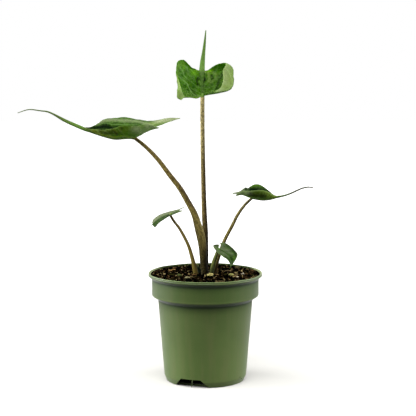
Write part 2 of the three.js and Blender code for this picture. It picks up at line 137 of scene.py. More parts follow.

# Half blades: lobe is the inner edge of the hind lobe, from its tip towards the joint, and margin
# runs from the lobe's tip round to the tail. cup says how squarely a half turns between midrib and
# margin; where belly is given, it is the middle line instead. rim is the width of the pale rim.
# The other keys are marks: strength (a height for a fold), width, and a line of places, each the
# station along lobe and midrib and the share of the way to the margin. fold lifts the surface,
# vein is a light vein, pale is a paler tint that is partly painted sheen and highlight, dark is
# painted shade, lit is painted light shining through, ash is a painted grey sheen, and the last
# mark is that painted grey sheen on the underside only.
MARKS = ("fold", "vein", "pale", "dark", "lit", "ash", "bloom")
TOP_LEFT = {
    "lobe": [(-17.5, -24, 255), (-13.5, -17, 254), (-7.5, -7, 252.5)],
    "belly": [
        (-23.5, -36, 249.3), (-31.5, -33.5, 252.2), (-29, -20, 258), (-27, -6, 262),
        (-28.5, 4, 271), (-24.5, 12, 280), (-14.5, 19, 277), (-5, 22.5, 276),
    ],
    "margin": [
        (-17.7, -30.5, 254.7), (-19.9, -29, 259.7), (-22.3, -21, 266.5), (-25.4, -9, 276),
        (-24.2, 2, 284.2), (-18.7, 9, 285.6), (-12.3, 16, 279.3), (-6.5, 22, 276.5),
    ],
    "rim": 1.6,
    "fold": [
        (-1.3, 1.6, [(5.5, 0.12), (4.95, 0.11), (4.43, 0.1)]),
        (0.9, 1.6, [(4.3, 0.2), (3.9, 0.25), (3.5, 0.1)]),
        (-0.8, 1.2, [(3.3, 0.35), (2.9, 0.25)]),
    ],
    "vein": [
        (1, 0.6, [(3.5, 0.7), (3.71, 0.47), (3.71, 0.33), (3.57, 0.3), (3, 0.23), (2.64, 0.1),
            (2.86, 0)]),
        (0.8, 0.5, [(4.3, 0.93), (4.57, 0.53), (4.3, 0.43), (4.3, 0.33)]),
        (0.7, 0.5, [(5.4, 1), (5.57, 0.87), (5.36, 0.6), (5.14, 0.43)]),
        (0.4, 0.5, [(5, 0.02), (4.7, 0.2), (4.9, 0.4)]),
    ],
    "pale": [
        (0.9, 1.3, [(2.79, 0.9), (2.2, 0.85), (1.2, 0.95), (0.36, 1)]),
        (0.5, 2.4, [(5.2, 0.9), (4.3, 0.8), (3.6, 0.8), (3, 0.75)]),
    ],
    "dark": [
        (0.9, 1.1, [(5.6, 0.11), (4.95, 0.1), (4.43, 0.08)]),
        (0.4, 1.4, [(5, 0.45), (4.86, 0.4)]),
        (0.6, 0.8, [(3.5, 0.26), (3.1, 0.19), (2.75, 0.09)]),
    ],
    "lit": [
        (0.7, 3.2, [(6, 0.7), (5.8, 0.3)]),
        (0.5, 2.4, [(5, 0.75), (4.9, 0.6)]),
    ],
}
TOP_RIGHT = {
    "lobe": [(7.3, -25.5, 260), (3.5, -12, 257.5)],
    "belly": [
        (8, -29, 257), (26.5, -30, 258.7), (39, -15, 261.5), (41, 2, 269), (34.5, 13, 278),
        (15, 19, 275), (-0.5, 22.5, 276),
    ],
    "margin": [
        (9, -27, 260), (13, -24, 262), (15.5, -14, 268.5), (15.5, -5, 276.5), (18, 4, 283),
        (9.5, 14, 281.5), (1.5, 22, 276),
    ],
    "rim": 1.1,
    "fold": [
        (1, 1.5, [(5.36, 0.27), (4.9, 0.18), (4.4, 0.11), (3.79, 0.08)]),
        (1, 1.5, [(5.3, 0.42), (4.7, 0.3), (4.2, 0.23), (3.57, 0.1)]),
        (-1, 1.1, [(4.7, 0.23), (4.36, 0.17), (4.07, 0.14)]),
        (-1.2, 1.5, [(4.9, 0.06), (4.64, 0.05), (4.3, 0.05)]),
    ],
    "vein": [
        (0.6, 0.5, [(1.86, 0), (2.14, 0.07), (2.79, 0.13), (3.36, 0.2), (3.86, 0.27)]),
        (0.5, 0.5, [(3.57, 0.03), (4.29, 0.13), (5, 0.43), (4.93, 0.93)]),
        (0.3, 0.5, [(3, 0.03), (3.6, 0.1), (4, 0.17)]),
        (0.5, 0.9, [(3.3, 0.9), (2.6, 0.8), (1.6, 0.7), (0.8, 0.6)]),
    ],
    "pale": [
        (0.7, 1, [(5.36, 0.27), (4.9, 0.18), (4.4, 0.11), (3.79, 0.08)]),
        (0.5, 1, [(5.2, 0.38), (4.7, 0.3), (4.2, 0.23), (3.57, 0.1)]),
        (0.9, 1, [(5.71, 0.2), (5.6, 0.22)]),
        (0.5, 9, [(3.8, 0.8), (3, 0.7), (2, 0.7), (1, 0.6), (0, 0.5)]),
        (1, 4, [(2.4, 0.3), (1.4, 0.3), (0.6, 0.4), (0, 0.4)]),
    ],
    "dark": [
        (0.8, 0.9, [(4.8, 0.23), (4.36, 0.17), (4.07, 0.14)]),
        (1, 1.2, [(4.9, 0.05), (4.64, 0.04), (4.3, 0.03)]),
        (0.8, 1.2, [(4.2, 0.37), (3.64, 0.23), (3.36, 0.2), (2.79, 0.17)]),
        (0.25, 2.4, [(2.6, 0.6), (2, 0.62), (1.3, 0.6)]),
    ],
    "lit": [
        (0.9, 3, [(5.7, 0.8), (5.5, 0.5)]),
        (0.5, 1.6, [(3.71, 0.57), (3.3, 0.6)]),
    ],
    "ash": [(0.4, 3, [(2.4, 0.3), (1.4, 0.3), (0.6, 0.4)])],
    "bloom": [(0.22, 4, [(4.2, 0.98), (3.5, 0.96), (3.06, 0.95), (2.3, 0.97), (1.7, 0.97)])],
}
LEFT_FRONT = {
    "lobe": [(-40, -19, 227.5), (-50, -12, 224)],
    "margin": [
        (-39.5, -20, 227.5), (-48.5, -22, 230.5), (-60, -25, 229.5), (-71, -26, 229.8),
        (-79.7, -24.5, 227.3), (-87.9, -20, 226), (-94.5, -14, 225.8), (-101.5, -9, 226),
        (-106.5, -8.8, 226.7),
    ],
    "cup": 0.85, "rim": 0.3,
    "fold": [
        (-1, 1.4, [(4.05, 0.95), (3.75, 0.8), (3.6, 0.7)]),
        (0.9, 1.3, [(3.4, 1), (3.5, 0.8), (3.4, 0.6)]),
    ],
    "pale": [
        (0.5, 1.4, [(7.2, 0.3), (6.2, 0.2), (5.2, 0.15), (4.4, 0.1)]),
        (0.6, 3, [(1.4, 0.7), (0.7, 0.6), (0, 0.5)]),
    ],
    "dark": [
        (0.55, 1.6, [(4.05, 0.95), (3.75, 0.8), (3.6, 0.7)]),
        (0.5, 2.4, [(5.6, 0.85), (4.8, 0.8), (4.2, 0.8)]),
        (0.5, 1, [(3.2, 0.95), (3.1, 0.85)]),
    ],
    "lit": [
        (0.7, 1.7, [(5.6, 0.5), (4.6, 0.48), (3.6, 0.44), (2.88, 0.42), (1.94, 0.25)]),
        (0.9, 3.2, [(6.4, 0.2), (5, 0.12), (3.5, 0.08), (2.4, 0.08)]),
    ],
    "ash": [(0.55, 4.5, [(1.9, 0.8), (1.25, 0.4), (0.94, 0.8), (0.3, 0.6)])],
}
LEFT_BACK = {
    "lobe": [(-23, 13, 234), (-36.5, 7, 229.6), (-49, -1, 225)],
    "belly": [
        (-22.7, 13.4, 233.8), (-34.5, 11, 231), (-48, 5, 229), (-61, 0, 228.5), (-71, 0, 229.5),
        (-81, -1, 230), (-89.5, -2, 229.5), (-95.5, -3, 227), (-100.8, -5, 226),
        (-106.5, -7.6, 226.6),
    ],
    "margin": [
        (-22.5, 13.8, 234.2), (-34, 15, 234), (-47, 18, 231.5), (-59.5, 18, 232.5),
        (-72, 18, 234.5), (-82.5, 16, 234), (-90.5, 11, 233), (-96, 5, 229.5), (-100.5, -2, 227.5),
        (-106.5, -7, 227),
    ],
    "fold": [(-1.2, 1.6, [(6.8, 0.55), (5.79, 0.46), (5, 0.46), (4.2, 0.46)])],
    # this vein line is a painted highlight along a crease
    "vein": [(1, 0.5, [(7.3, 0.8), (6.5, 0.72), (5.14, 0.6), (4.14, 0.56), (3, 0.62)])],
    "pale": [
        (0.3, 2.6, [(6.9, 0.95), (6, 0.85), (5, 0.8), (4, 0.75), (2.9, 0.8), (2, 0.7)]),
        (0.9, 5, [(1.9, 0.6), (1.1, 0.7), (0.5, 0.6), (0, 0.5)]),
    ],
    "dark": [
        (1, 3.2, [(7.4, 0.62), (6.43, 0.54), (5.79, 0.46), (5.2, 0.43)]),
        (0.8, 1, [(5.2, 0.52), (4.3, 0.48), (3.3, 0.52)]),
    ],
    "ash": [
        (0.6, 4.6, [(1.6, 0.8), (1.1, 0.75), (0.5, 0.6), (0.3, 0.5)]),
        (0.28, 3.4, [(6.4, 0.9), (5.12, 0.85), (4, 0.78), (2.81, 0.8), (2, 0.5)]),
    ],
}
RIGHT_FRONT = {
    "lobe": [(27.5, -11, 167.3), (32.5, -7, 167.5), (37.5, -3, 165.5)],
    "margin": [
        (26.5, -11.5, 168), (32, -14, 171.5), (37.5, -16, 172), (42, -17, 172.5), (47, -17, 173),
        (51.5, -15, 172.5), (56.5, -9, 170), (61.5, -4, 166.5), (67.5, -0.8, 166),
    ],
    "cup": 0.85, "rim": 0.9,
    "pale": [(0.7, 2.6, [(2, 0.8), (1.2, 0.7), (0.5, 0.6), (0, 0.5)])],
    "dark": [
        (0.6, 3, [(2.6, 0.7), (3.4, 0.66), (4.4, 0.66), (5.2, 0.66)]),
        (0.8, 1, [(2.4, 0.85), (2.5, 0.8)]),
    ],
    "lit": [(0.5, 1.4, [(6.4, 0.5), (7, 0.5)])],
    "ash": [(0.45, 3, [(2.2, 0.8), (1.2, 0.7), (0.5, 0.6), (0, 0.5)])],
}
RIGHT_BACK = {
    "lobe": [(24.5, 5, 167.2), (28.5, 4.5, 167), (33, 3.5, 166.8), (37, 2, 166)],
    "margin": [
        (24, 5.5, 167.8), (30.5, 9, 169), (36, 13, 172), (38.5, 14, 171), (43, 16, 174),
        (48, 16, 174.5), (52.5, 14, 172.5), (57.5, 9, 169), (62, 4, 166), (67.5, 0.8, 166),
    ],
    "cup": 0.4,
    "fold": [(0.8, 1.4, [(2.8, 0.85), (3.4, 0.95)])],
    "pale": [(0.7, 2.4, [(1.4, 0.7), (0.7, 0.6), (0, 0.5)])],
    "dark": [
        (1, 2.2, [(3.6, 0.72), (4.9, 0.66), (6, 0.7), (6.8, 0.8)]),
        (0.8, 1, [(1.9, 1), (2.2, 0.85), (2.3, 0.7)]),
    ],
    "lit": [(0.7, 1.6, [(3.6, 1), (4.4, 0.95), (5.2, 0.95)])],
    "ash": [(0.4, 2.4, [(1.6, 0.7), (0.7, 0.6), (0, 0.5)])],
}
SMALL_LEFT_FRONT = {
    "lobe": [(-20.5, -6, 153.5), (-25, -4, 153)],
    "margin": [
        (-20, -6.5, 153), (-24, -9, 152), (-30, -12, 150), (-35.5, -13, 147), (-40.5, -12, 143.5),
        (-44.5, -9, 139), (-47, -4.5, 140.5),
    ],
    "cup": 0.7,
    "dark": [
        (0.45, 6, [(2.2, 0.6), (3.2, 0.6), (4.4, 0.7), (5.4, 0.7)]),
        (0.9, 1.8, [(2.2, 0.1), (2.7, 0.45), (3.1, 0.5)]),
        (0.6, 0.6, [(3.3, 0.05), (3.5, 0.6)]),
        (0.5, 0.5, [(4, 0.1), (4.2, 0.7)]),
        (0.5, 0.5, [(4.7, 0.1), (4.9, 0.7)]),
    ],
    "lit": [(0.4, 1.6, [(5.4, 0.4), (4.6, 0.4), (3.8, 0.4), (3, 0.3)])],
}
SMALL_LEFT_BACK = {
    "lobe": [(-18.5, 6, 155), (-25, 3, 152)],
    "margin": [
        (-18, 6.5, 155.5), (-25, 9, 152.5), (-32, 12, 150.5), (-38, 13, 148.5), (-43, 11, 146.5),
        (-46.5, 6, 144), (-47.5, -1, 142),
    ],
    "cup": 0.15,
    "pale": [(0.9, 5, [(0, 0.5), (2, 0.6), (4, 0.6), (5.6, 0.6)])],
    "dark": [(0.3, 0.9, [(1.8, 1), (3.2, 1), (4.6, 1), (6, 1)])],
    "ash": [(0.5, 5, [(0.4, 0.8), (1.4, 0.8), (2.7, 0.8), (4.4, 0.85), (5.6, 0.9)])],
}
SMALL_RIGHT_INNER = {
    "lobe": [(12.2, -8.8, 123.6), (12, -8.6, 121.4)],
    "margin": [
        (9.5, -10, 123.9), (7, -11, 123), (8, -13, 120.5), (11, -17, 117.5), (15, -21, 115),
        (19.5, -24.5, 112.5), (21.5, -25, 109.5), (22, -25.5, 107),
    ],
    "cup": 0.2,
    "dark": [
        (0.7, 0.7, [(0, 0.6), (0.4, 1), (1.2, 1)]),
        (0.5, 1.4, [(4.4, 0.8), (5.2, 0.6), (6, 0.5)]),
    ],
    "ash": [(0.25, 3.2, [(1.4, 0.8), (2.2, 0.6), (3.2, 0.4), (4, 0.3)])],
}
SMALL_RIGHT_OUTER = {
    "lobe": [(14, -7.5, 122.5), (13.5, -8, 121)],
    "margin": [
        (13, -6, 124.5), (17, -4, 124.5), (21, -5, 122.5), (25.5, -9, 119), (28.5, -13, 115.5),
        (27.5, -18, 112.5), (24.5, -22.5, 108.5), (23.2, -24.6, 107),
    ],
    "cup": 0.2,
    "dark": [
        (0.5, 1, [(1.4, 0.95), (3, 0.9), (4, 0.86)]),
        (0.4, 1.2, [(4.8, 0.3), (5.8, 0.3)]),
    ],
    "lit": [(0.3, 0.9, [(4.4, 0.62), (5.4, 0.6)])],
    "ash": [
        (0.4, 1, [(1.5, 0.95), (3, 1), (4.8, 1)]),
        (0.25, 2.2, [(2.57, 0.1), (3.4, 0.3), (4, 0.4)]),
        (0.35, 3, [(1.6, 0.3), (2.2, 0.3), (3, 0.4)]),
    ],
}

# Blades: the midrib from the stalk's joint forward, the tail, and radii at even steps along both.
# size scales the relief. valley is how far painted shade darkens the fold along the midrib, rib
# how pale the midrib is and how much painted light it has, tail_pale and tail_brown the look of
# the tail, under_dark the share of the dark marks' painted shade that shows on the underside, and
# dull picks the greyer skin.
BLADES = {
    "blade_top": {
        "midrib": [
            (-2.5, 0, 254.5), (-2.5, 7, 259.5), (-3, 13, 265), (-3, 18.5, 270.5), (-3, 22, 276),
        ],
        "tail": [
            (-2.5, 24, 284), (-1.5, 25, 292.5), (-0.5, 25, 301.5), (0, 24.5, 307), (0.5, 24, 312),
        ],
        "radii": [1.7, 1.5, 1.7, 2.7, 2.2, 1.5, 1, 0.4],
        "size": 1, "tail_pale": 0.35, "tail_brown": 0.2, "under_dark": 0.2,
        "halves": (TOP_LEFT, TOP_RIGHT),
    },
    "blade_left": {
        "midrib": [
            (-62.5, -5, 217.5), (-70.5, -5, 217.5), (-79.5, -5, 217), (-88, -5, 219),
            (-95, -6, 221.5), (-101, -7, 224), (-106.5, -8, 226),
        ],
        "tail": [
            (-114, -9, 229.3), (-122.5, -10, 233.2), (-135.5, -12, 240.4), (-144, -12, 242),
            (-154, -12, 243), (-164, -10, 240),
        ],
        "radii": [0.8, 0.9, 0.9, 1.1, 1.6, 1.6, 1.4, 0.8, 0.55, 0.45, 0.3],
        "size": 1, "valley": 0.97, "tail_brown": 0.5, "tail_pale": 0.7, "rib": (0.4, 0.6),
        "halves": (LEFT_FRONT, LEFT_BACK),
    },
    "blade_right": {
        "midrib": [
            (41.5, 0, 164), (47, 0, 163), (52, 0, 162.5), (57.5, 0, 163), (63, 0, 164.5),
            (67.5, 0, 165.5),
        ],
        "tail": [
            (71.5, 0, 166.5), (76.5, -1, 168.5), (81.5, -2, 171), (86, -3, 173), (91, -3, 174),
            (95.5, -3, 173.5),
        ],
        "radii": [1, 1, 0.9, 0.9, 0.74, 0.68, 0.62, 0.45],
        "size": 0.7, "dull": True, "valley": 0.3, "tail_brown": 0.9, "tail_pale": 0.5,
        "rib": (0.9, 0), "halves": (RIGHT_FRONT, RIGHT_BACK),
    },
    "blade_small_left": {
        "midrib": [
            (-30, 0, 149.5), (-35.5, -0.5, 147.5), (-41, -1.5, 145), (-45, -2.5, 142.5),
            (-46.5, -3, 141),
        ],
        "tail": [(-47.5, -3, 140.5), (-48, -3.5, 139), (-47.5, -4, 138)],
        "radii": [0.8, 0.7, 0.5, 0.4, 0.2],
        "size": 0.5, "dull": True, "tail_brown": 0.8, "halves": (SMALL_LEFT_FRONT, SMALL_LEFT_BACK),
    },
    "blade_small_right": {
        "midrib": [
            (11.5, -9, 119.5), (15.5, -13, 118), (19, -17, 116), (21.5, -21, 112.5),
            (22.5, -24, 108.5), (22.5, -25, 107),
        ],
        "tail": [(22, -25.5, 106), (21.5, -25.5, 105)],
        "radii": [0.8, 0.7, 0.6, 0.4, 0.25],
        "size": 0.5, "dull": True, "halves": (SMALL_RIGHT_INNER, SMALL_RIGHT_OUTER),
    },
}
BLADE_DEFAULTS = {
    "dull": False, "valley": 0, "rib": (0, 0), "tail_pale": 0, "tail_brown": 0, "under_dark": 1,
}
LEAF_THICKNESS = 0.34
ROWS = 16  # rows of cells from one station of a blade to the next
COLUMNS = 48  # columns from midrib to margin
# The surface swells between its side veins, sinks along them and ripples away from the midrib.
RELIEF = {"swell": 0.3, "swell_width": 3, "rim_width": 2, "sink": 0.2, "sink_width": 0.8,
          "ripple": 0.35, "calm_width": 3}
# How strongly the plain side veins show, how pale a hind lobe's tip is (a paler skin with painted
# sheen on it), and widths in the colour.
LOOK = {"side_vein": 0.36, "hind_pale": 0.7, "vein_width": 0.55, "midrib_width": 1.3,
        "valley_width": 12, "rim": 0.5}
# Side veins: how many leave the midrib, how far from their stations, and how far they sweep on.
# In the hind lobe each has the share of the lobe that it reaches and its share of the width.
VEINS = {"count": 4, "offset": 0.35, "sweep": 0.22, "hind": ((0.12, 0.55), (0.45, 1), (0.8, 1))}
TAIL_FADE = 0.15  # share of midrib and tail over which the tail comes free of the blade

# Small shoots: centre line, radii at even steps, and the colours of the sheath and its tip.
SHOOTS = {
    "cataphyll": ([(4.3, 5, 87), (4.3, 5, 95), (4.4, 5, 101), (4.8, 5, 105)],
                  [1.1, 1.2, 1.1, 0.8, 0.4], (12, 26, 6), (18, 30, 8)),
    "sprout": ([(-5.5, 9, 88), (-5.5, 9, 96), (-6.5, 8.5, 101), (-8.2, 8, 103.5)],
               [1.2, 1.2, 1.2, 1, 0.5], (10, 22, 6), (104, 110, 66)),
}
# Chips and twigs on the soil: light and dark colour. CHIP has their noise per mm, and its height.
CHIP = {"coarse": 0.9, "fine": 2.5, "patches": 0.7, "height": 0.35}
CRUMB_TINTS = {
    "bark_front": ((196, 180, 120), (76, 84, 30)), "bark_right": ((156, 152, 90), (60, 66, 26)),
    "bark_back": ((80, 72, 42), (36, 31, 18)), "bark_left": ((66, 72, 28), (28, 34, 16)),
    "bark_edge": ((148, 142, 104), (70, 70, 43)),
    "perlite_right": ((222, 216, 198), (130, 120, 96)),
    "perlite_front": ((206, 196, 164), (116, 104, 78)),
    "twig_left": ((156, 122, 70), (76, 56, 28)), "twig_middle": ((132, 114, 78), (60, 48, 32)),
}

CAMERA = {"x": 2.4, "y": -1148, "z": 298, "down": 7.1, "lens": 112.5, "sensor": 36}
FLOOR_HALF = 4000
LIGHT_TARGET = (0, 0, 0.12)
LIGHTS = {  # place and size in metres, and watts
    "key": ((-0.15, -0.82, 1.38), (2, 0.9), 56),
    "left": ((-1.4, 0.2, 0.6), (1.1, 1), 54),
    "right": ((1.35, 0.07, 0.75), (1.1, 1), 38),
}

# ---- curves and meshes --------------------------------------------------------------------


def smooth_line(points, t):
    """Places on the Catmull-Rom line through points; t runs evenly from point to point, 0 to 1."""
    points = np.asarray(points, float)
    ends = np.vstack([2 * points[0] - points[1], points, 2 * points[-1] - points[-2]])
    s = np.clip(np.asarray(t, float), 0, 1) * (len(points) - 1)
    i = np.minimum(s.astype(int), len(points) - 2)
    f = (s - i)[:, None]
    a, b, c, d = ends[i], ends[i + 1], ends[i + 2], ends[i + 3]
    slope, bend, twist = c - a, 2 * a - 5 * b + 4 * c - d, 3 * b - a - 3 * c + d
    return 0.5 * (2 * b + slope * f + bend * f**2 + twist * f**3)


def even_line(points, count):
    """Places at even distances along the smooth line through points, and the distances."""
    dense = smooth_line(points, np.linspace(0, 1, 40 * len(points)))
    length = np.concatenate([[0], np.cumsum(np.linalg.norm(np.diff(dense, axis=0), axis=1))])
    at = np.linspace(0, length[-1], count)
    return np.stack([np.interp(at, length, dense[:, k]) for k in range(3)], 1), at


def bell(distance, width):
    """1 at no distance, falling away over width."""
    return np.exp(-((distance / width) ** 2))


def side_vectors(line):
    """Two directions across a line at each place, the first towards the viewer, without twist."""
    tangent = np.gradient(line, axis=0)
    tangent /= np.linalg.norm(tangent, axis=1)[:, None]
    side = np.array([0, -1, 0], float)
    sides = []
    for t in tangent:
        side = side - t * side.dot(t)
        side /= np.linalg.norm(side)
        sides.append(side)
    sides = np.array(sides)
    return sides, np.cross(tangent, sides)


def grid_faces(rows, columns, wrap=False):
    """Quads of a grid of rows by columns; wrap joins the last column to the first."""
    faces = []
    for i in range(rows - 1):
        for j in range(columns if wrap else columns - 1):
            a, b = i * columns + j, i * columns + (j + 1) % columns
            faces.append((a, b, b + columns, a + columns))
    return faces


def make_piece(name, verts, faces, materials, layers=None, indices=None, sharp=40):
    """A smooth mesh object. layers gives vertex layers by name, indices each face's material, and
    edges over sharp degrees stay sharp."""
    mesh = bpy.data.meshes.new(name)
    mesh.from_pydata((np.asarray(verts) * MM).tolist(), [], faces)
    mesh.validate()
    for layer, rows in (layers or {}).items():
        attribute = mesh.color_attributes.new(layer, "FLOAT_COLOR", "POINT")
        rows = np.asarray(rows, np.float32)
        rows = np.hstack([rows, np.ones((len(rows), 4 - rows.shape[1]), np.float32)])
        attribute.data.foreach_set("color", rows.ravel())
    for material in materials:
        mesh.materials.append(material)
    if indices is not None:
        mesh.polygons.foreach_set("material_index", indices)
    mesh.shade_smooth()
    mesh.set_sharp_from_angle(angle=math.radians(sharp))
    mesh.update()
    piece = bpy.data.objects.new(name, mesh)
    bpy.context.scene.collection.objects.link(piece)
    return piece


def stand_in(piece, node):
    """The piece takes the CAD node's place."""
    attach(piece, "root")
    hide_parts(node)


def gathered(name, shapes, material):
    """One piece from several shapes of vertices, faces and a tint."""
    verts, faces, tints = [], [], []
    for corners, polygons, tint in shapes:
        faces += [tuple(len(verts) + v for v in f) for f in polygons]
        verts += list(corners)
        tints += [tint] * len(corners)
    return make_piece(name, verts, faces, [material], {"tint": tints}, sharp=30)


def tube(points, radii, count, sides, flatness=1, bump=None):
    """A closed tapered tube. flatness scales its thickness towards the viewer. Gives vertices,
    faces, and the distance along the tube and the angle round it of each vertex."""
    line, at = even_line(points, count)
    across, other = side_vectors(line)
    angle = np.linspace(0, 2 * np.pi, sides, endpoint=False)
    radius = np.interp(np.linspace(0, 1, count), np.linspace(0, 1, len(radii)), radii)
    radius = radius[:, None] * np.ones(sides)
    if bump is not None:
        radius = radius * bump(at[:, None], angle[None, :])
    ring = (radius * np.cos(angle) * flatness)[..., None] * across[:, None]
    ring = ring + (radius * np.sin(angle))[..., None] * other[:, None]
    verts = (line[:, None] + ring).reshape(-1, 3)
    faces = grid_faces(count, sides, wrap=True)
    faces.append(tuple(range(sides)))
    faces.append(tuple((count - 1) * sides + j for j in reversed(range(sides))))
    return verts, faces, np.repeat(at, sides), np.tile(angle, count)


# ---- materials ----------------------------------------------------------------------------


def rgb(red, green, blue):
    """An 8-bit sRGB colour as linear values."""
    values = [c / 255 for c in (red, green, blue)]
    return [c / 12.92 if c <= 0.04045 else ((c + 0.055) / 1.055) ** 2.4 for c in values] + [1.0]


WHITE = rgb(255, 255, 255)
RULER = 100  # length in millimetres of the ruler ramps


class Paint:
    """The node tree of a material or world, built up call by call. A call gives a socket."""

    def __init__(self, owner):
        self.owner = owner
        owner.use_nodes = True
        self.tree = owner.node_tree
        self.tree.nodes.clear()

    def node(self, kind, **inputs):
        node = self.tree.nodes.new("ShaderNode" + kind)
        for key, value in inputs.items():
            self.feed(node, key.replace("_", " "), value)
        return node

    def feed(self, node, key, value):
        if isinstance(value, bpy.types.NodeSocket):
            self.tree.links.new(value, node.inputs[key])
        else:
            node.inputs[key].default_value = value

    def place(self, kind="Object"):
        return self.node("TexCoord").outputs[kind]

    def axes(self, vector):
        return self.node("SeparateXYZ", Vector=vector).outputs

    def length(self, vector):
        node = self.node("VectorMath", Vector=vector)
        node.operation = "LENGTH"
        return node.outputs["Value"]

    def layer(self, name, output="Color"):
        """A vertex layer's colour, or its alpha."""
        node = self.node("Attribute")
        node.attribute_name = name
        return node.outputs[output]

    def channels(self, colour):
        return self.node("SeparateColor", Color=colour).outputs

    def stretched(self, vector, scale):
        return self.node("Mapping", Vector=vector, Scale=scale).outputs[0]

    def noise(self, vector, scale, detail=3, rough=0.55):
        """Noise with one scale, or with one along each axis."""
        if np.ndim(scale):
            vector, scale = self.stretched(vector, scale), 1
        node = self.node("TexNoise", Vector=vector, Scale=scale, Detail=detail, Roughness=rough)
        return node.outputs["Fac"]

    def ramp(self, value, *stops):
        """stops are places from 0 to 1 with a grey or a colour of three values each."""
        node = self.node("ValToRGB", Fac=value)
        elements = node.color_ramp.elements
        while len(elements) < len(stops):
            elements.new(1.0)
        for element, (place, tone) in zip(elements, stops):
            element.position = place
            element.color = (*np.broadcast_to(tone, 3), 1)
        return node.outputs["Color"]

    def step(self, value, start, end, low=0, high=1):
        """Greys from low to high as value goes from start to end."""
        return self.ramp(value, (start, low), (end, high))

    def ruler(self, length, *stops):
        """A ramp over a length, with its stops in millimetres."""
        share = self.maths("DIVIDE", length, RULER * MM)
        return self.ramp(share, *((mm / RULER, tone) for mm, tone in stops))

    def mix(self, share, a, b, blend="MIX"):
        node = self.node("Mix")
        node.data_type, node.blend_type = "RGBA", blend
        for key, value in ((0, share), (6, a), (7, b)):
            self.feed(node, key, value)
        return node.outputs[2]

    def coat(self, base, *layers):
        """Shares of a colour, each laid over what is there."""
        for share, colour in layers:
            base = self.mix(share, base, colour)
        return base

    def dye(self, colour, tint):
        return self.mix(1, colour, tint, "MULTIPLY")

    def maths(self, operation, a, b=0):
        node = self.node("Math")
        node.operation = operation
        self.feed(node, 0, a)
        self.feed(node, 1, b)
        return node.outputs[0]

    def times(self, a, b):
        return self.maths("MULTIPLY", a, b)

    def bump(self, height, strength, distance, **normal):
        return self.node(
            "Bump", Height=height, Strength=strength, Distance=distance, **normal).outputs[0]

    def surface(self, colour, **inputs):
        return self.node("BsdfPrincipled", Base_Color=colour, **inputs).outputs[0]

    def blend(self, share, a, b):
        """A mix of two shaders."""
        node = self.node("MixShader", Fac=share)
        self.feed(node, 1, a)
        self.feed(node, 2, b)
        return node.outputs[0]

    def finish(self, shader, kind="Material"):
        self.node("Output" + kind, Surface=shader).is_active_output = True
        return self.owner


def new_paint(name):
    return Paint(bpy.data.materials.new(name))


# Painted light and shade on the plastic, by height in millimetres from the foot up: painted light
# that brightens it towards the foot, painted shadow under the collar and the lip, a painted
# highlight at the collar's lower edge, and painted light and dark lines on the lip's face.
PLASTIC_PAINTED_SHADING = [
    (0, 1), (5, 0.96), (30, (0.86, 0.86, 0.84)), (58, (0.74, 0.74, 0.7)),
    (66, (0.66, 0.68, 0.6)), (71, (0.48, 0.54, 0.36)), (73, (0.1, 0.2, 0.02)),
    (75.5, (0.12, 0.22, 0.03)), (76.6, (0.6, 0.64, 0.5)), (77.4, (0.8, 0.8, 0.76)),
    (79, (0.54, 0.59, 0.46)), (86, (0.5, 0.56, 0.42)), (89.5, (0.4, 0.48, 0.3)),
    (91.4, (0.1, 0.2, 0.02)), (93.6, (0.12, 0.22, 0.03)), (94.5, (0.72, 0.74, 0.66)),
    (95.6, (0.38, 0.44, 0.28)), (96.6, 1),
]


def pot_plastic(name, painted_highlight=0, gloss=0.26, sheen=0.2):
    """Moulded plastic, with painted light and shade by height, and painted shade on the flare
    inside the lip that turns to painted light towards the sides. The second argument moves it to a
    paler green, a painted highlight."""
    p = new_paint(name)
    place = p.place()
    across, _, height = p.axes(place)
    cloud = p.noise(place, 30)
    streaks = p.noise(place, (190, 190, 9), 2)
    colour = p.coat(rgb(68, 87, 38), (p.step(cloud, 0.35, 0.7), rgb(76, 94, 44)),
                    (p.step(streaks, 0.4, 0.7, 0, 0.5), rgb(84, 92, 50)))
    # the plastic's colour times its painted light and shade by height
    colour = p.dye(colour, p.ruler(height, *PLASTIC_PAINTED_SHADING))
    # painted shade on the flare inside the lip, with painted light on it towards the sides
    inside = p.ruler(p.length(p.stretched(place, (1, 1, 0))),
                     (POT["mouth_r"] + 0.25, 1), (POT["lip_r"] - 0.5, 0))
    inside = p.times(inside, p.ruler(height, (93, 0), (94, 1)))
    sideways = p.ruler(p.maths("ABSOLUTE", across), (40, 0), (50, 1))
    flare = p.mix(sideways, rgb(36, 46, 20), rgb(116, 124, 90))
    # where asked, a paler green laid over all of it is a painted highlight
    colour = p.coat(colour, (inside, flare), (painted_highlight, rgb(96, 108, 72)))
    grain = p.bump(p.noise(place, 900, 2), 0.1, 0.0004)
    return p.finish(p.surface(
        colour, Roughness=p.step(cloud, 0.3, 0.7, 0.42, 0.52),
        Normal=p.bump(streaks, 0.08, 0.0003, Normal=grain),
        Specular_IOR_Level=gloss, Sheen_Weight=sheen, Sheen_Roughness=0.4))


def potting_mix():
    p = new_paint("potting_mix")
    place = p.place()
    speck = p.noise(place, 1400, 4, 0.7)
    colour = p.dye(p.layer("tint"), p.step(speck, 0.3, 0.7, 0.3))
    bump = p.bump(p.noise(place, 900, 5, 0.7), 0.6, 0.0008)
    return p.finish(p.surface(colour, Roughness=0.95, Specular_IOR_Level=0, Normal=bump))


def woody():
    """Bark, perlite, twigs and flakes: the layer "tint" gives the colour, noise breaks it up."""
    p = new_paint("woody")
    tint = p.layer("tint")
    grain = p.noise(p.place(), (500, 500, 1500), 4, 0.65)
    colour = p.mix(p.step(grain, 0.4, 0.75, 0, 0.8), tint, p.dye(tint, (0.4, 0.35, 0.3, 1)))
    bump = p.bump(grain, 0.6, 0.0006)
    return p.finish(p.surface(colour, Roughness=0.85, Normal=bump, Specular_IOR_Level=0.08))


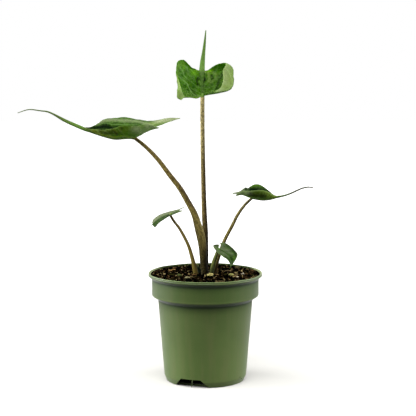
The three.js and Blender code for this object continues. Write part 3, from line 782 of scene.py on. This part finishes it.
def stalk_skin(name, parts):
    """Mottled stalk skin, from the foot's colour to the tip's. The layer "stalk" holds the share
    of the height, how far a place is on the side that gets painted shade, and how near the blade it
    is."""
    p = new_paint(name)
    light, dark, foot, tip = (rgb(*parts[key]) for key in ("light", "dark", "foot", "tip"))
    height, shaded_side, top = p.channels(p.layer("stalk"))
    place = p.place()
    bands = p.step(p.noise(place, (900, 900, 560), 4, 0.6), 0.42, 0.62)
    fine = p.noise(place, (900, 900, 1700), 2)
    # painted shade: the stalk's right side is darker, and near-black low down on that side
    shady = p.times(p.step(shaded_side, 0.3, 0.75), p.step(height, 0.6, 0.95, 1, 0.4))
    low = p.times(p.step(height, 0.08, 0.34, 1, 0), p.step(shaded_side, 0.5, 0.72))
    rooted = p.times(p.step(height, 0.3 * parts["reach"], parts["reach"], 1, 0),
                     p.step(fine, 0.4, 0.6, 0.45))
    colour = p.coat(
        light, (p.step(height, 0.55, 0.8), tip), (shady, dark), (p.times(low, 0.85), rgb(5, 4, 2)),
        (p.times(bands, parts["mottle"]), p.mix(0.65, dark, foot)),
        (p.step(fine, 0.45, 0.8, 0, 0.35), light), (rooted, foot))
    # painted shade, darker towards the foot
    colour = p.dye(colour, p.step(height, 0.05, 0.5, parts["gloom"]))
    colour = p.mix(top, colour, rgb(66, 100, 32))
    bump = p.bump(p.noise(place, (700, 700, 120)), 0.35, 0.0003)
    return p.finish(p.surface(colour, Roughness=0.5, Normal=bump, Specular_IOR_Level=0.06))


def leaf_skin(name, rough, *tones):
    """Leaf surface. The layer "leaf" holds how near a place is to a vein, the margin and the
    midrib, and its painted light; "tone" holds its paler tint, partly painted sheen, its painted
    shade in folds and dark marks, how woody it is, and its painted grey sheen. glow is the light
    that comes through."""
    p = new_paint(name)
    deep, fresh, vein, edge, pale, lush, ash, glow = (rgb(*tone) for tone in tones)
    near_vein, near_margin, near_midrib = p.channels(p.layer("leaf"))
    pale_and_sheen, valley, wood = p.channels(p.layer("tone"))
    sunlit, ashen = p.layer("leaf", "Alpha"), p.layer("tone", "Alpha")
    place = p.place()
    patches = p.step(p.noise(place, 230, 5, 0.7), 0.36, 0.64)
    fine = p.noise(place, 560, 4, 0.6)
    streaks = p.step(p.noise(place, (420, 420, 160), 4), 0.3, 0.7, 0.7)
    # painted light and shade laid on the skin: light shining through, pale sheen, grey sheen and
    # shade
    colour = p.coat(
        deep, (patches, fresh), (p.step(fine, 0.5, 0.68, 0, 0.5), vein),
        (p.step(fine, 0.32, 0.46, 0.5, 0), deep), (sunlit, lush), (p.times(near_midrib, 0.5), vein),
        (p.times(near_margin, 0.7), edge), (p.times(pale_and_sheen, streaks), pale), (ashen, ash),
        (near_vein, vein), (valley, rgb(1, 20, 0)), (wood, rgb(76, 76, 54)))
    cells = p.node("TexVoronoi", Vector=place, Scale=1500).outputs["Distance"]
    bump = p.bump(cells, 0.08, 0.0002, Normal=p.bump(fine, 0.12, 0.0003))
    skin = p.surface(colour, Roughness=rough, Normal=bump, Specular_IOR_Level=0.03)
    # the light through the leaf keeps the skin's colour under the painted sheen and goes black in
    # the painted shade
    light = p.coat(colour, (0.75, glow), (ashen, colour), (wood, colour), (valley, rgb(0, 0, 0)))
    through = p.node("BsdfTranslucent", Color=light).outputs[0]
    return p.finish(p.blend(0.5, skin, through))


# the slots' cut faces get a painted highlight
PLASTIC, CUT_EDGE = pot_plastic("pot_plastic"), pot_plastic("cut_edge", painted_highlight=0.35)
MOUTH = pot_plastic("pot_mouth", gloss=0.02, sheen=0)
MIX = potting_mix()
WOODY = woody()
# lush is the green of the painted light, pale is partly painted sheen, and ash is the painted grey
# sheen
LEAF_TOP = leaf_skin(
    "leaf_upper", 0.4, (16, 40, 0), (64, 102, 6), (108, 138, 76), (92, 122, 26), (120, 140, 68),
    (88, 132, 0), (176, 180, 150), (110, 170, 0))
LEAF_DULL = leaf_skin(
    "leaf_dull", 0.42, (14, 34, 2), (50, 78, 18), (92, 112, 70), (116, 134, 84), (112, 124, 88),
    (72, 112, 8), (128, 132, 108), (84, 126, 6))
LEAF_UNDER = leaf_skin(
    "leaf_under", 0.45, (70, 84, 16), (92, 106, 28), (132, 152, 92), (146, 166, 100),
    (118, 142, 82), (150, 162, 36), (164, 174, 142), (110, 170, 0))

# ---- pot ----------------------------------------------------------------------------------


def rounded(points, radius, steps=5):
    """The outline through points with each inner corner rounded by up to radius."""
    points = [np.array(p, float) for p in points]
    out = [points[0]]
    for before, corner, after in zip(points, points[1:], points[2:]):
        back, on = before - corner, after - corner
        cut = min(radius, 0.45 * np.linalg.norm(back), 0.45 * np.linalg.norm(on))
        start = corner + back / np.linalg.norm(back) * cut
        end = corner + on / np.linalg.norm(on) * cut
        for t in np.linspace(0, 1, steps):
            out.append((1 - t) ** 2 * start + 2 * t * (1 - t) * corner + t**2 * end)
    return np.array(out + [points[-1]])


def spun(profile, sides):
    """A shape turned round Z, from an outline of radius and height that starts and ends on Z."""
    angle = np.linspace(0, 2 * np.pi, sides, endpoint=False)
    radius, height = profile[1:-1, :1], profile[1:-1, 1:]
    ring = np.stack([radius * np.sin(angle), -radius * np.cos(angle),
                     np.repeat(height, sides, 1)], -1)
    verts = np.vstack([ring.reshape(-1, 3), (0, 0, profile[0, 1]), (0, 0, profile[-1, 1])])
    faces = grid_faces(len(radius), sides, wrap=True)
    bottom, top = len(verts) - 2, len(verts) - 1
    last = (len(radius) - 1) * sides
    for j in range(sides):
        k = (j + 1) % sides
        faces += [(bottom, k, j), (last + j, last + k, top)]
    return verts, faces


def pot_profile():
    """The outline from the foot's middle up the outside, over the lip and down the inside."""
    d = POT
    lip, top, depth, thick = d["lip_r"], d["height"], d["lip_depth"], d["wall"]
    return rounded([
        (0, 0), (d["base_r"], 0), (d["wall_foot_r"], d["wall_foot_z"]),
        (d["wall_top_r"], d["shoulder_foot"]), (d["collar_r"], d["collar_foot"]),
        (d["collar_r"], d["lip_foot"]), (lip - 0.2, top - depth), (lip, top - 0.75 * depth),
        (lip - 0.5, top - 0.5 * depth), (lip - 0.1, top - 0.25 * depth), (lip - 0.5, top),
        (d["mouth_r"], top - 0.1), (d["collar_r"] - thick, d["mouth_foot"]),
        (d["collar_r"] - thick, d["collar_foot"]), (d["wall_top_r"] - thick, d["shoulder_foot"]),
        (d["wall_foot_r"] - thick, d["wall_foot_z"]), (d["base_r"] - thick, d["floor"]),
        (0, d["floor"])], CORNER_R)


def prism(outline, depth):
    """A closed bar: outline is (x, z) points, extruded along -Y from the origin."""
    count = len(outline)
    verts = [(x, y, z) for y in (0, -depth) for x, z in outline]
    faces = [tuple(reversed(range(count))), tuple(range(count, 2 * count))]
    for j in range(count):
        k = (j + 1) % count
        faces.append((j, k, count + k, count + j))
    return np.array(verts, float), faces


def turned(verts, degrees):
    c, s = math.cos(math.radians(degrees)), math.sin(math.radians(degrees))
    return verts @ np.array([[c, s, 0], [-s, c, 0], [0, 0, 1]])


def combine(target, tool, operation):
    """Takes the tool's shape out of the target, or joins it on."""
    modifier = target.modifiers.new("shape", "BOOLEAN")
    modifier.object, modifier.operation, modifier.solver = tool, operation, "EXACT"
    bpy.context.view_layer.objects.active = target
    bpy.ops.object.modifier_apply(modifier=modifier.name)
    bpy.data.objects.remove(tool)


def cut_piece(verts, faces, degrees):
    """A shape for combine, turned to its slot and with the look of a cut edge, a painted highlight.
    """
    indices = [1] * len(faces)
    return make_piece("tool", turned(verts, degrees), faces, [PLASTIC, CUT_EDGE], indices=indices)


def slot_shape():
    """What a drain slot takes away."""
    foot, top, high = SLOT["half_foot"], SLOT["half_top"], SLOT["height"]
    outline = [(-foot, -1), (foot, -1), (top, high), (-top, high), (-foot, -1)]
    verts, faces = prism(rounded(outline, SLOT["corner_r"], 3)[:-1], SLOT["depth"])
    return verts - (0, SLOT["inner_r"], 0), faces


def slot_web():
    """A thin slanting web that the mould leaves standing in a drain slot."""
    half, depth = SLOT["web_width"] / 2, SLOT["web_depth"]
    verts = []
    for z, r in ((0.05, POT["base_r"] - 0.1), (SLOT["height"] + 0.4, POT["wall_foot_r"] + 0.1)):
        x = SLOT["web_lean"] * (z / SLOT["height"] - 0.5)
        for side, back in ((-half, 0), (half, 0), (half, depth), (-half, depth)):
            verts.append((SLOT["web_x"] + x + side, -r + back, z))
    faces = [(3, 2, 1, 0), (4, 5, 6, 7)]
    faces += [(j, (j + 1) % 4, 4 + (j + 1) % 4, 4 + j) for j in range(4)]
    return np.array(verts), faces


def make_pot():
    verts, faces = spun(pot_profile(), POT_SIDES)
    radius = np.hypot(verts[:, 0], verts[:, 1])
    step = LIP_RIPPLE["per_mm"]
    wave = np.array([noise.noise(Vector((x * step, y * step, 3))) for x, y, _ in verts])
    verts[:, 2] += np.where(radius > POT["collar_r"] + 1, LIP_RIPPLE["height"] * wave, 0)
    mouth = [max(radius[v] for v in f) < POT["lip_r"] - 0.6 and verts[f[0], 2] > POT["mouth_foot"]
             for f in faces]
    pot = make_piece("pot_shell", verts, faces, [PLASTIC, CUT_EDGE, MOUTH],
                     indices=[2 if m else 0 for m in mouth])
    for i in range(SLOT["count"]):
        degrees = SLOT["turn"] + i * 360 / SLOT["count"]
        combine(pot, cut_piece(*slot_shape(), degrees), "DIFFERENCE")
        combine(pot, cut_piece(*slot_web(), degrees), "UNION")
    pot.data.set_sharp_from_angle(angle=math.radians(35))
    stand_in(pot, "pot")


def make_burrs():
    shapes = []
    for r, degrees, z, size in BURRS:
        verts, faces = lump((size, 0.6 * size, 0.8 * size), level=2, roughness=0.6)
        shapes.append((turned(verts + (0, -r, z), degrees), faces, rgb(40, 52, 22)))
    burrs = gathered("pot_burrs", shapes, WOODY)
    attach(burrs, "root")


# ---- soil ---------------------------------------------------------------------------------

DARK_MIX = rgb(2, 2, 1)
SOIL_TINTS = [  # share of the crumbs, and colour
    (0.5, DARK_MIX), (0.14, rgb(10, 8, 5)), (0.11, rgb(44, 31, 18)), (0.06, rgb(46, 44, 18)),
    (0.11, rgb(84, 64, 38)), (0.08, rgb(138, 122, 82)),
]


def soil_tint():
    pick = RANDOM.random()
    for share, tint in SOIL_TINTS:
        pick -= share
        if pick <= 0:
            return tint
    return DARK_MIX


def soil_height(x, y):
    """Height of the soil's surface, without its crumbs. It is piled up towards the wall."""
    wide, fine = SOIL_LUMPS["wide"], SOIL_LUMPS["fine"]
    lumps = noise.noise(Vector((x * wide, y * wide, 1)))
    lumps += 0.9 * noise.noise(Vector((x * fine, y * fine, 5)))
    piled = min(max((math.hypot(x, y) - PILE["from_r"]) / PILE["over"], 0), 1)
    bumps = SOIL_LUMPS["height"] * lumps * (1 - 0.5 * piled)
    return SOIL_LEVEL - 0.5 + PILE["height"] * piled * piled + bumps


def ball(level):
    """Corners and faces of a small ball with 20 or 80 triangles."""
    shape = bmesh.new()
    bmesh.ops.create_icosphere(shape, subdivisions=level, radius=1)
    verts = np.array([v.co[:] for v in shape.verts])
    faces = [tuple(v.index for v in f.verts) for f in shape.faces]
    shape.free()
    return verts, faces


BALLS = {1: ball(1), 2: ball(2)}


def lump(size, level, roughness):
    """A broken lump of that size along its three axes, turned at random."""
    verts, faces = BALLS[level]
    push = np.array([1 - roughness * RANDOM.random() for _ in verts])
    tilt = RANDOM.uniform(-0.5, 0.5), RANDOM.uniform(-0.5, 0.5), RANDOM.uniform(0, 2 * math.pi)
    turn = np.array(Euler(tilt).to_matrix())
    return (verts * push[:, None] * np.array(size) / 2) @ turn.T, faces


def make_soil():
    rings = [(r, SOIL_LEVEL) for r in np.linspace(SOIL_EDGE, 0, SOIL_RINGS, endpoint=False)]
    profile = np.array([(0, SOIL_FOOT), *SOIL_SIDE, *rings, (0, SOIL_LEVEL)])
    verts, faces = spun(profile, SOIL_SIDES)
    for k in np.flatnonzero(verts[:, 2] == SOIL_LEVEL):
        verts[k, 2] = soil_height(*verts[k, :2])
    shapes = [(verts, faces, DARK_MIX)]
    for _ in range(CRUMBS["count"]):
        r = SOIL_EDGE * math.sqrt(RANDOM.random())
        a = RANDOM.uniform(0, 2 * math.pi)
        x, y = r * math.sin(a), -r * math.cos(a)
        big = RANDOM.random() < CRUMBS["big_share"]
        s = RANDOM.uniform(*CRUMBS["big" if big else "small"])
        if r > SOIL_EDGE - s:
            continue
        size = [s * RANDOM.uniform(*span) for span in ((1, 2.4), (0.5, 1), (0.4, 0.8))]
        verts, faces = lump(size, level=2 if big else 1, roughness=0.45)
        # painted shade darkens the crumbs at the front; the strip before the stalks is darker too
        strip = y < SOIL_DIMMING["middle"] and abs(x - SOIL_DIMMING["x"]) < SOIL_DIMMING["half_width"]
        dimming = SOIL_DIMMING["dimmed" if strip or y < SOIL_DIMMING["front"] else "dry"]
        verts = verts + (x, y, soil_height(x, y) + 0.2 * s)
        shapes.append((verts, faces, np.array(soil_tint()) * dimming))
    stand_in(gathered("potting_mix_bed", shapes, MIX), "soil")


# ---- stalks -------------------------------------------------------------------------------


def make_stalk(name):
    """A stalk that runs on a little into its blade."""
    parts = {**STALK_DEFAULTS, **STALKS[name]}
    joint = BLADES[name.replace("petiole", "blade")]["midrib"][:2]
    line = [*parts["line"], joint[0], np.mean(joint, axis=0)]
    middle, width, swell = parts["sheath"]

    def girth(at, angle):
        ridges = 0.03 * np.sin(5 * angle + at * 0.03) + 0.015 * np.sin(at * 0.9 + angle)
        thick = 1 + ridges + swell * bell(at - middle, width) * np.maximum(np.sin(angle), 0)
        return thick * np.sqrt(np.clip((at.max() - at) / STALK_TAPER, 0.02, 1))

    verts, faces, at, angle = tube(line, parts["radii"], count=200, sides=28, bump=girth)
    share = (verts[:, 2] - SOIL_LEVEL) / (parts["line"][-1][2] - SOIL_LEVEL)
    sheath = min(2 * swell, 1) * bell(at - middle, 1.4 * width)
    # where painted shade falls round the stalk, most on its right side
    shaded_side = (0.5 + 0.5 * np.sin(angle)) * (1 - sheath)
    top = 0.9 * np.clip((at - at.max() + parts["green"]) / 1.2, 0, 1)
    title = name.replace("petiole", "stalk")
    layers = {"stalk": np.stack([np.clip(share, 0, 1), shaded_side, top], 1)}
    stalk = make_piece(title, verts, faces, [stalk_skin(title, parts)], layers, sharp=60)
    stand_in(stalk, name)


# ---- blades -------------------------------------------------------------------------------


def belly_line(inner, margin, cup):
    """The middle line of a half, from its inner edge's stations and its margin's."""
    inner, margin = np.array(inner, float), np.array(margin, float)
    flat = 0.5 * (1 - cup)
    x = (inner[:, 0] + margin[:, 0]) / 2
    y = inner[:, 1] * flat + margin[:, 1] * (1 - flat)
    z = margin[:, 2] * flat + inner[:, 2] * (1 - flat)
    return np.stack([x, y, z], 1)


def half_grid(half, midrib):
    """Places on a half blade as rows by columns, and the row at which its midrib starts."""
    stations = [*half["lobe"], *midrib]
    joint = len(half["lobe"])
    s = np.linspace(0, len(stations) - 1, (len(stations) - 1) * ROWS + 1)
    lobe = smooth_line([*half["lobe"], midrib[0]], s[s < joint] / joint)
    rib = smooth_line(midrib, (s[s >= joint] - joint) / (len(midrib) - 1))
    inner = np.vstack([lobe, rib])
    belly = half.get("belly")
    if belly is None:
        belly = belly_line(stations, half["margin"], half["cup"])
    share = s / (len(stations) - 1)
    belly, margin = smooth_line(belly, share), smooth_line(half["margin"], share)
    v = np.linspace(0, 1, COLUMNS + 1)[None, :, None]
    grid = (1 - v) ** 2 * inner[:, None] + 2 * v * (1 - v) * belly[:, None] + v**2 * margin[:, None]
    return grid, joint * ROWS


def grid_at(grid, row, column):
    """Places between the grid's points."""
    row = np.clip(row, 0, grid.shape[0] - 1.001)
    column = np.clip(column, 0, grid.shape[1] - 1.001)
    i, j = row.astype(int), column.astype(int)
    f, g = (row - i)[:, None], (column - j)[:, None]
    low = grid[i, j] * (1 - g) + grid[i, j + 1] * g
    high = grid[i + 1, j] * (1 - g) + grid[i + 1, j + 1] * g
    return low * (1 - f) + high * f


def vein_lines(grid, joint):
    """The side veins of a half, as points: they leave the midrib, or fan out from the joint into
    the hind lobe, and curve towards the margin."""
    rows, columns = grid.shape[0] - 1, grid.shape[1] - 1
    t = np.linspace(0, 1, 70)
    sweep = VEINS["sweep"] * (rows - joint)
    veins = []
    for start in np.linspace(joint, rows - ROWS, VEINS["count"] + 1)[:-1] + VEINS["offset"] * ROWS:
        veins.append(grid_at(grid, start + sweep * t**1.4, columns * t))
    for end, reach in VEINS["hind"]:
        veins.append(grid_at(grid, joint * (1 - (1 - end) * t**0.9), columns * reach * t**1.1))
    return np.vstack(veins)


def nearest(points, targets):
    """Distance from each point to the nearest target, worked out in parts to save memory."""
    parts = [points[k:k + 2000] for k in range(0, len(points), 2000)]
    return np.concatenate([
        np.sqrt(((part[:, None] - targets[None]) ** 2).sum(-1).min(1)) for part in parts])


def vertex_normals(verts, faces):
    faces = np.array(faces)
    a, b, c, d = (verts[faces[:, k]] for k in range(4))
    normal = np.cross(c - a, d - b)
    out = np.zeros_like(verts)
    for k in range(4):
        np.add.at(out, faces[:, k], normal)
    return out / np.maximum(np.linalg.norm(out, axis=1), 1e-9)[:, None]


def half_fields(half, grid, joint, size):
    """Arrays of rows by columns: how near each place on a half is to a side vein, the margin and
    the midrib, its distance from the midrib (rib), and its marks."""
    flat = grid.reshape(-1, 3)
    side = nearest(flat, vein_lines(grid, joint))
    edge = nearest(flat, np.vstack([grid[:, -1], grid[:joint, 0], grid[0]]))
    rib = nearest(flat, grid[joint:, 0])
    hind = np.repeat(np.clip(1 - np.arange(grid.shape[0]) / joint, 0, 1), grid.shape[1])
    between = (1 - bell(side, RELIEF["swell_width"] * size)) * (1 - bell(edge, RELIEF["rim_width"]))
    groove = RELIEF["sink"] * bell(side, RELIEF["sink_width"] * size)
    fields = {
        **{kind: 0 * rib for kind in MARKS}, "rib": rib, "pale": LOOK["hind_pale"] * hind,
        "vein": LOOK["side_vein"] * bell(side, LOOK["vein_width"] * size),
        "margin": bell(edge, half.get("rim", LOOK["rim"])),
        "midrib": bell(rib, LOOK["midrib_width"] * size),
        "fold": size * (RELIEF["swell"] * between - groove),
    }
    for kind in MARKS:
        for strength, width, line in half.get(kind, []):
            stations, shares = smooth_line(line, np.linspace(0, 1, 60)).T
            near = bell(nearest(flat, grid_at(grid, stations * ROWS, shares * COLUMNS)), width)
            join = np.add if kind == "fold" else np.maximum
            fields[kind] = join(fields[kind], strength * near)
    return {key: value.reshape(grid.shape[:2]) for key, value in fields.items()}


def blade_sheet(parts):
    """The blade as one thin sheet: vertices, quads with the upper side out, and its fields, one
    value a vertex. The halves share the vertices of the midrib."""
    verts, faces, fields = [], [], {}
    shared = {}
    for half in parts["halves"]:
        grid, joint = half_grid(half, parts["midrib"])
        rows, columns = grid.shape[:2]
        near = grid[joint:joint + 2 * ROWS, :4]
        corner = near[:-1, :-1]
        lean = np.cross(near[1:, :-1] - corner, near[:-1, 1:] - corner)[..., 2].sum()
        index = np.zeros((rows, columns), int)
        half_values = half_fields(half, grid, joint, parts["size"])
        for i in range(rows):
            for j in range(columns):
                if j == 0 and i - joint in shared:
                    index[i, j] = shared[i - joint]
                    continue
                index[i, j] = len(verts)
                verts.append(grid[i, j])
                for key, value in half_values.items():
                    fields.setdefault(key, []).append(value[i, j])
        shared = {i - joint: index[i, 0] for i in range(joint, rows)}
        for a, b, c, d in grid_faces(rows, columns):
            quad = tuple(index.flat[k] for k in (a, d, c, b))
            faces.append(quad if lean > 0 else quad[::-1])
    return np.array(verts), faces, {key: np.array(value) for key, value in fields.items()}


def thickened(verts, faces, normals):
    """Both sides of a sheet and the rim between them, with 1 marking the faces of the underside."""
    count, half = len(verts), normals * LEAF_THICKNESS / 2
    under = [tuple(count + v for v in reversed(f)) for f in faces]
    once = {}
    for f in faces:
        for a, b in zip(f, f[1:] + f[:1]):
            if once.pop((b, a), None) is None:
                once[a, b] = True
    rim = [(b, a, count + a, count + b) for a, b in once]
    indices = [0] * len(faces) + [1] * len(under) + [0] * len(rim)
    return np.vstack([verts + half, verts - half]), faces + under + rim, indices


def columns_of(*values):
    """Rows of a vertex layer, from an array or a single number a column."""
    return np.stack(np.broadcast_arrays(*values), 1)


def make_blade(name):
    parts = {**BLADE_DEFAULTS, **BLADES[name]}
    size = parts["size"]
    verts, faces, fields = blade_sheet(parts)
    ripple = [noise.noise(Vector(v * 0.12)) + 0.7 * noise.noise(Vector(v * 0.33)) for v in verts]
    calm = 1 - bell(fields["rib"], RELIEF["calm_width"] * size)
    lift = calm * (fields["fold"] + RELIEF["ripple"] * size * np.array(ripple))
    verts = verts + vertex_normals(verts, faces) * lift[:, None]
    both, faces, indices = thickened(verts, faces, vertex_normals(verts, faces))
    pale, ash, dark = fields["pale"], fields["ash"], fields["dark"]
    # nearness to a vein, the margin and the midrib, and painted light
    closeness = columns_of(*(fields[key] for key in ("vein", "margin", "midrib", "lit")))
    # painted shade in the fold along the midrib
    valley = parts["valley"] * bell(fields["rib"], LOOK["valley_width"] * size)
    # tone rows: paler tint partly painted sheen, painted shade, wood, painted grey sheen; the
    # underside adds its own painted grey sheen
    tone = columns_of(pale, np.maximum(valley, dark), 0, ash)
    under_tone = columns_of(pale, parts["under_dark"] * dark, 0, np.maximum(ash, fields["bloom"]))

    stem, stem_faces, at, angle = tube(
        [*parts["midrib"], *parts["tail"]], parts["radii"], count=130, sides=16, flatness=0.6)
    joined = np.linalg.norm(np.diff(parts["midrib"], axis=0), axis=1).sum() / at.max()
    past = (at / at.max() - joined) / TAIL_FADE
    free, dry = np.clip(past + 0.7, 0, 1), np.clip(past - 0.5, 0, 1)
    channel = free * (0.5 + 0.5 * np.cos(2 * angle)) * parts["tail_pale"]
    # the midrib's paler tint and its painted light
    rib_pale, rib_lit = parts["rib"]
    stem_closeness = columns_of(0, 0, 0.4 + 0.8 * free * size, rib_lit * (1 - free))
    stem_tone = columns_of(channel + rib_pale * (1 - free), 0.05 * parts["valley"] * (1 - free),
                           dry * parts["tail_brown"], 0)
    faces = faces + [tuple(len(both) + v for v in f) for f in stem_faces]
    leaf = make_piece(
        name.replace("blade", "leaf"), np.vstack([both, stem]), faces,
        [LEAF_DULL if parts["dull"] else LEAF_TOP, LEAF_UNDER],
        {"leaf": np.vstack([closeness, closeness, stem_closeness]),
         "tone": np.vstack([tone, under_tone, stem_tone])},
        indices + [0] * len(stem_faces), sharp=50)
    stand_in(leaf, name)


# ---- shoots and crumbs --------------------------------------------------------------------


def make_shoot(name):
    line, radii, colour, tip = SHOOTS[name]
    verts, faces, at, _ = tube(
        line, radii, count=40, sides=16, bump=lambda s, a: 1 + 0.12 * np.sin(3 * a + s))
    share = np.clip(at / at.max() * 4 - 3, 0, 1)[:, None]
    tints = np.array(rgb(*colour)) * (1 - share) + np.array(rgb(*tip)) * share
    shoot = make_piece(name + "_tip", verts, faces, [WOODY], {"tint": tints})
    stand_in(shoot, name)


def make_crumb(node):
    """A rough chip with the size and place of its CAD node."""
    shape = bmesh.new()
    shape.from_mesh(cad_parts[node].data)
    bmesh.ops.subdivide_edges(
        shape, edges=shape.edges[:], cuts=2, use_grid_fill=True, smooth=0.4)
    shape.normal_update()
    light, dark = (np.array(rgb(*tint)) for tint in CRUMB_TINTS[node])
    colours = []
    for v in shape.verts:
        coarse, fine = (noise.noise(v.co / MM * CHIP[key]) for key in ("coarse", "fine"))
        v.co += v.normal * (coarse + 0.5 * fine) * CHIP["height"] * MM
        share = min(max(0.5 + 0.9 * noise.noise(v.co / MM * CHIP["patches"]), 0), 1)
        colours.append(light * share + dark * (1 - share))
    verts = np.array([v.co[:] for v in shape.verts]) / MM
    faces = [tuple(v.index for v in f.verts) for f in shape.faces]
    shape.free()
    piece = make_piece(node + "_chip", verts, faces, [WOODY], {"tint": colours}, sharp=30)
    stand_in(piece, node)


# ---- stage --------------------------------------------------------------------------------


def add_to_scene(name, data, place):
    item = bpy.data.objects.new(name, data)
    item.location = place
    bpy.context.scene.collection.objects.link(item)
    return item


def make_camera():
    data = bpy.data.cameras.new("camera")
    data.lens, data.sensor_width = CAMERA["lens"], CAMERA["sensor"]
    camera = add_to_scene("camera", data, [CAMERA[k] * MM for k in "xyz"])
    camera.rotation_euler = (math.radians(90 - CAMERA["down"]), 0, 0)
    bpy.context.scene.camera = camera


def make_light(name, place, size, power):
    data = bpy.data.lights.new(name, "AREA")
    data.shape, data.energy = "RECTANGLE", power
    data.size, data.size_y = size
    aim = Vector(LIGHT_TARGET) - Vector(place)
    add_to_scene(name, data, place).rotation_euler = aim.to_track_quat("-Z", "Y").to_euler()


def make_world():
    """A white surround that is dim on the viewer's side. What the camera sees of it is white."""
    world = bpy.data.worlds.new("surround")
    bpy.context.scene.world = world
    p = Paint(world)
    depth = p.axes(p.place("Generated"))["Y"]
    front = p.node("MapRange", Value=depth, From_Min=-0.5, From_Max=0.4, To_Min=0.05, To_Max=1)
    front.interpolation_type = "SMOOTHSTEP"
    shade = p.node("Background", Color=WHITE, Strength=front.outputs[0]).outputs[0]
    plain = p.node("Background", Color=WHITE).outputs[0]
    p.finish(p.blend(p.node("LightPath").outputs["Is Camera Ray"], shade, plain), "World")


def make_floor():
    """A white floor that throws back less light than it shows."""
    p = new_paint("floor_white")
    away = p.length(p.place())
    glow = p.node("MapRange", Value=away, From_Min=0.3, From_Max=0.8).outputs[0]
    seen = p.surface(rgb(168, 167, 164), Roughness=0.9, Specular_IOR_Level=0.1,
                     Emission_Color=WHITE, Emission_Strength=glow)
    bounced = p.node("BsdfDiffuse", Color=(0.15, 0.15, 0.15, 1)).outputs[0]
    p.finish(p.blend(p.node("LightPath").outputs["Is Camera Ray"], bounced, seen))
    corners = [(FLOOR_HALF * x, FLOOR_HALF * y, 0) for x, y in ((-1, -1), (1, -1), (1, 1), (-1, 1))]
    floor = make_piece("floor", corners, [(0, 1, 2, 3)], [p.owner])


# ---- assembly -----------------------------------------------------------------------------

bpy.context.scene.view_settings.view_transform = "Standard"
make_camera()
make_world()
make_floor()
for light_name, light in LIGHTS.items():
    make_light(light_name, *light)

make_pot()
make_soil()
make_burrs()
for make, nodes in ((make_stalk, STALKS), (make_blade, BLADES), (make_shoot, SHOOTS),
                    (make_crumb, CRUMB_TINTS)):
    for node_name in nodes:
        make(node_name)

bpy.context.view_layer.update()
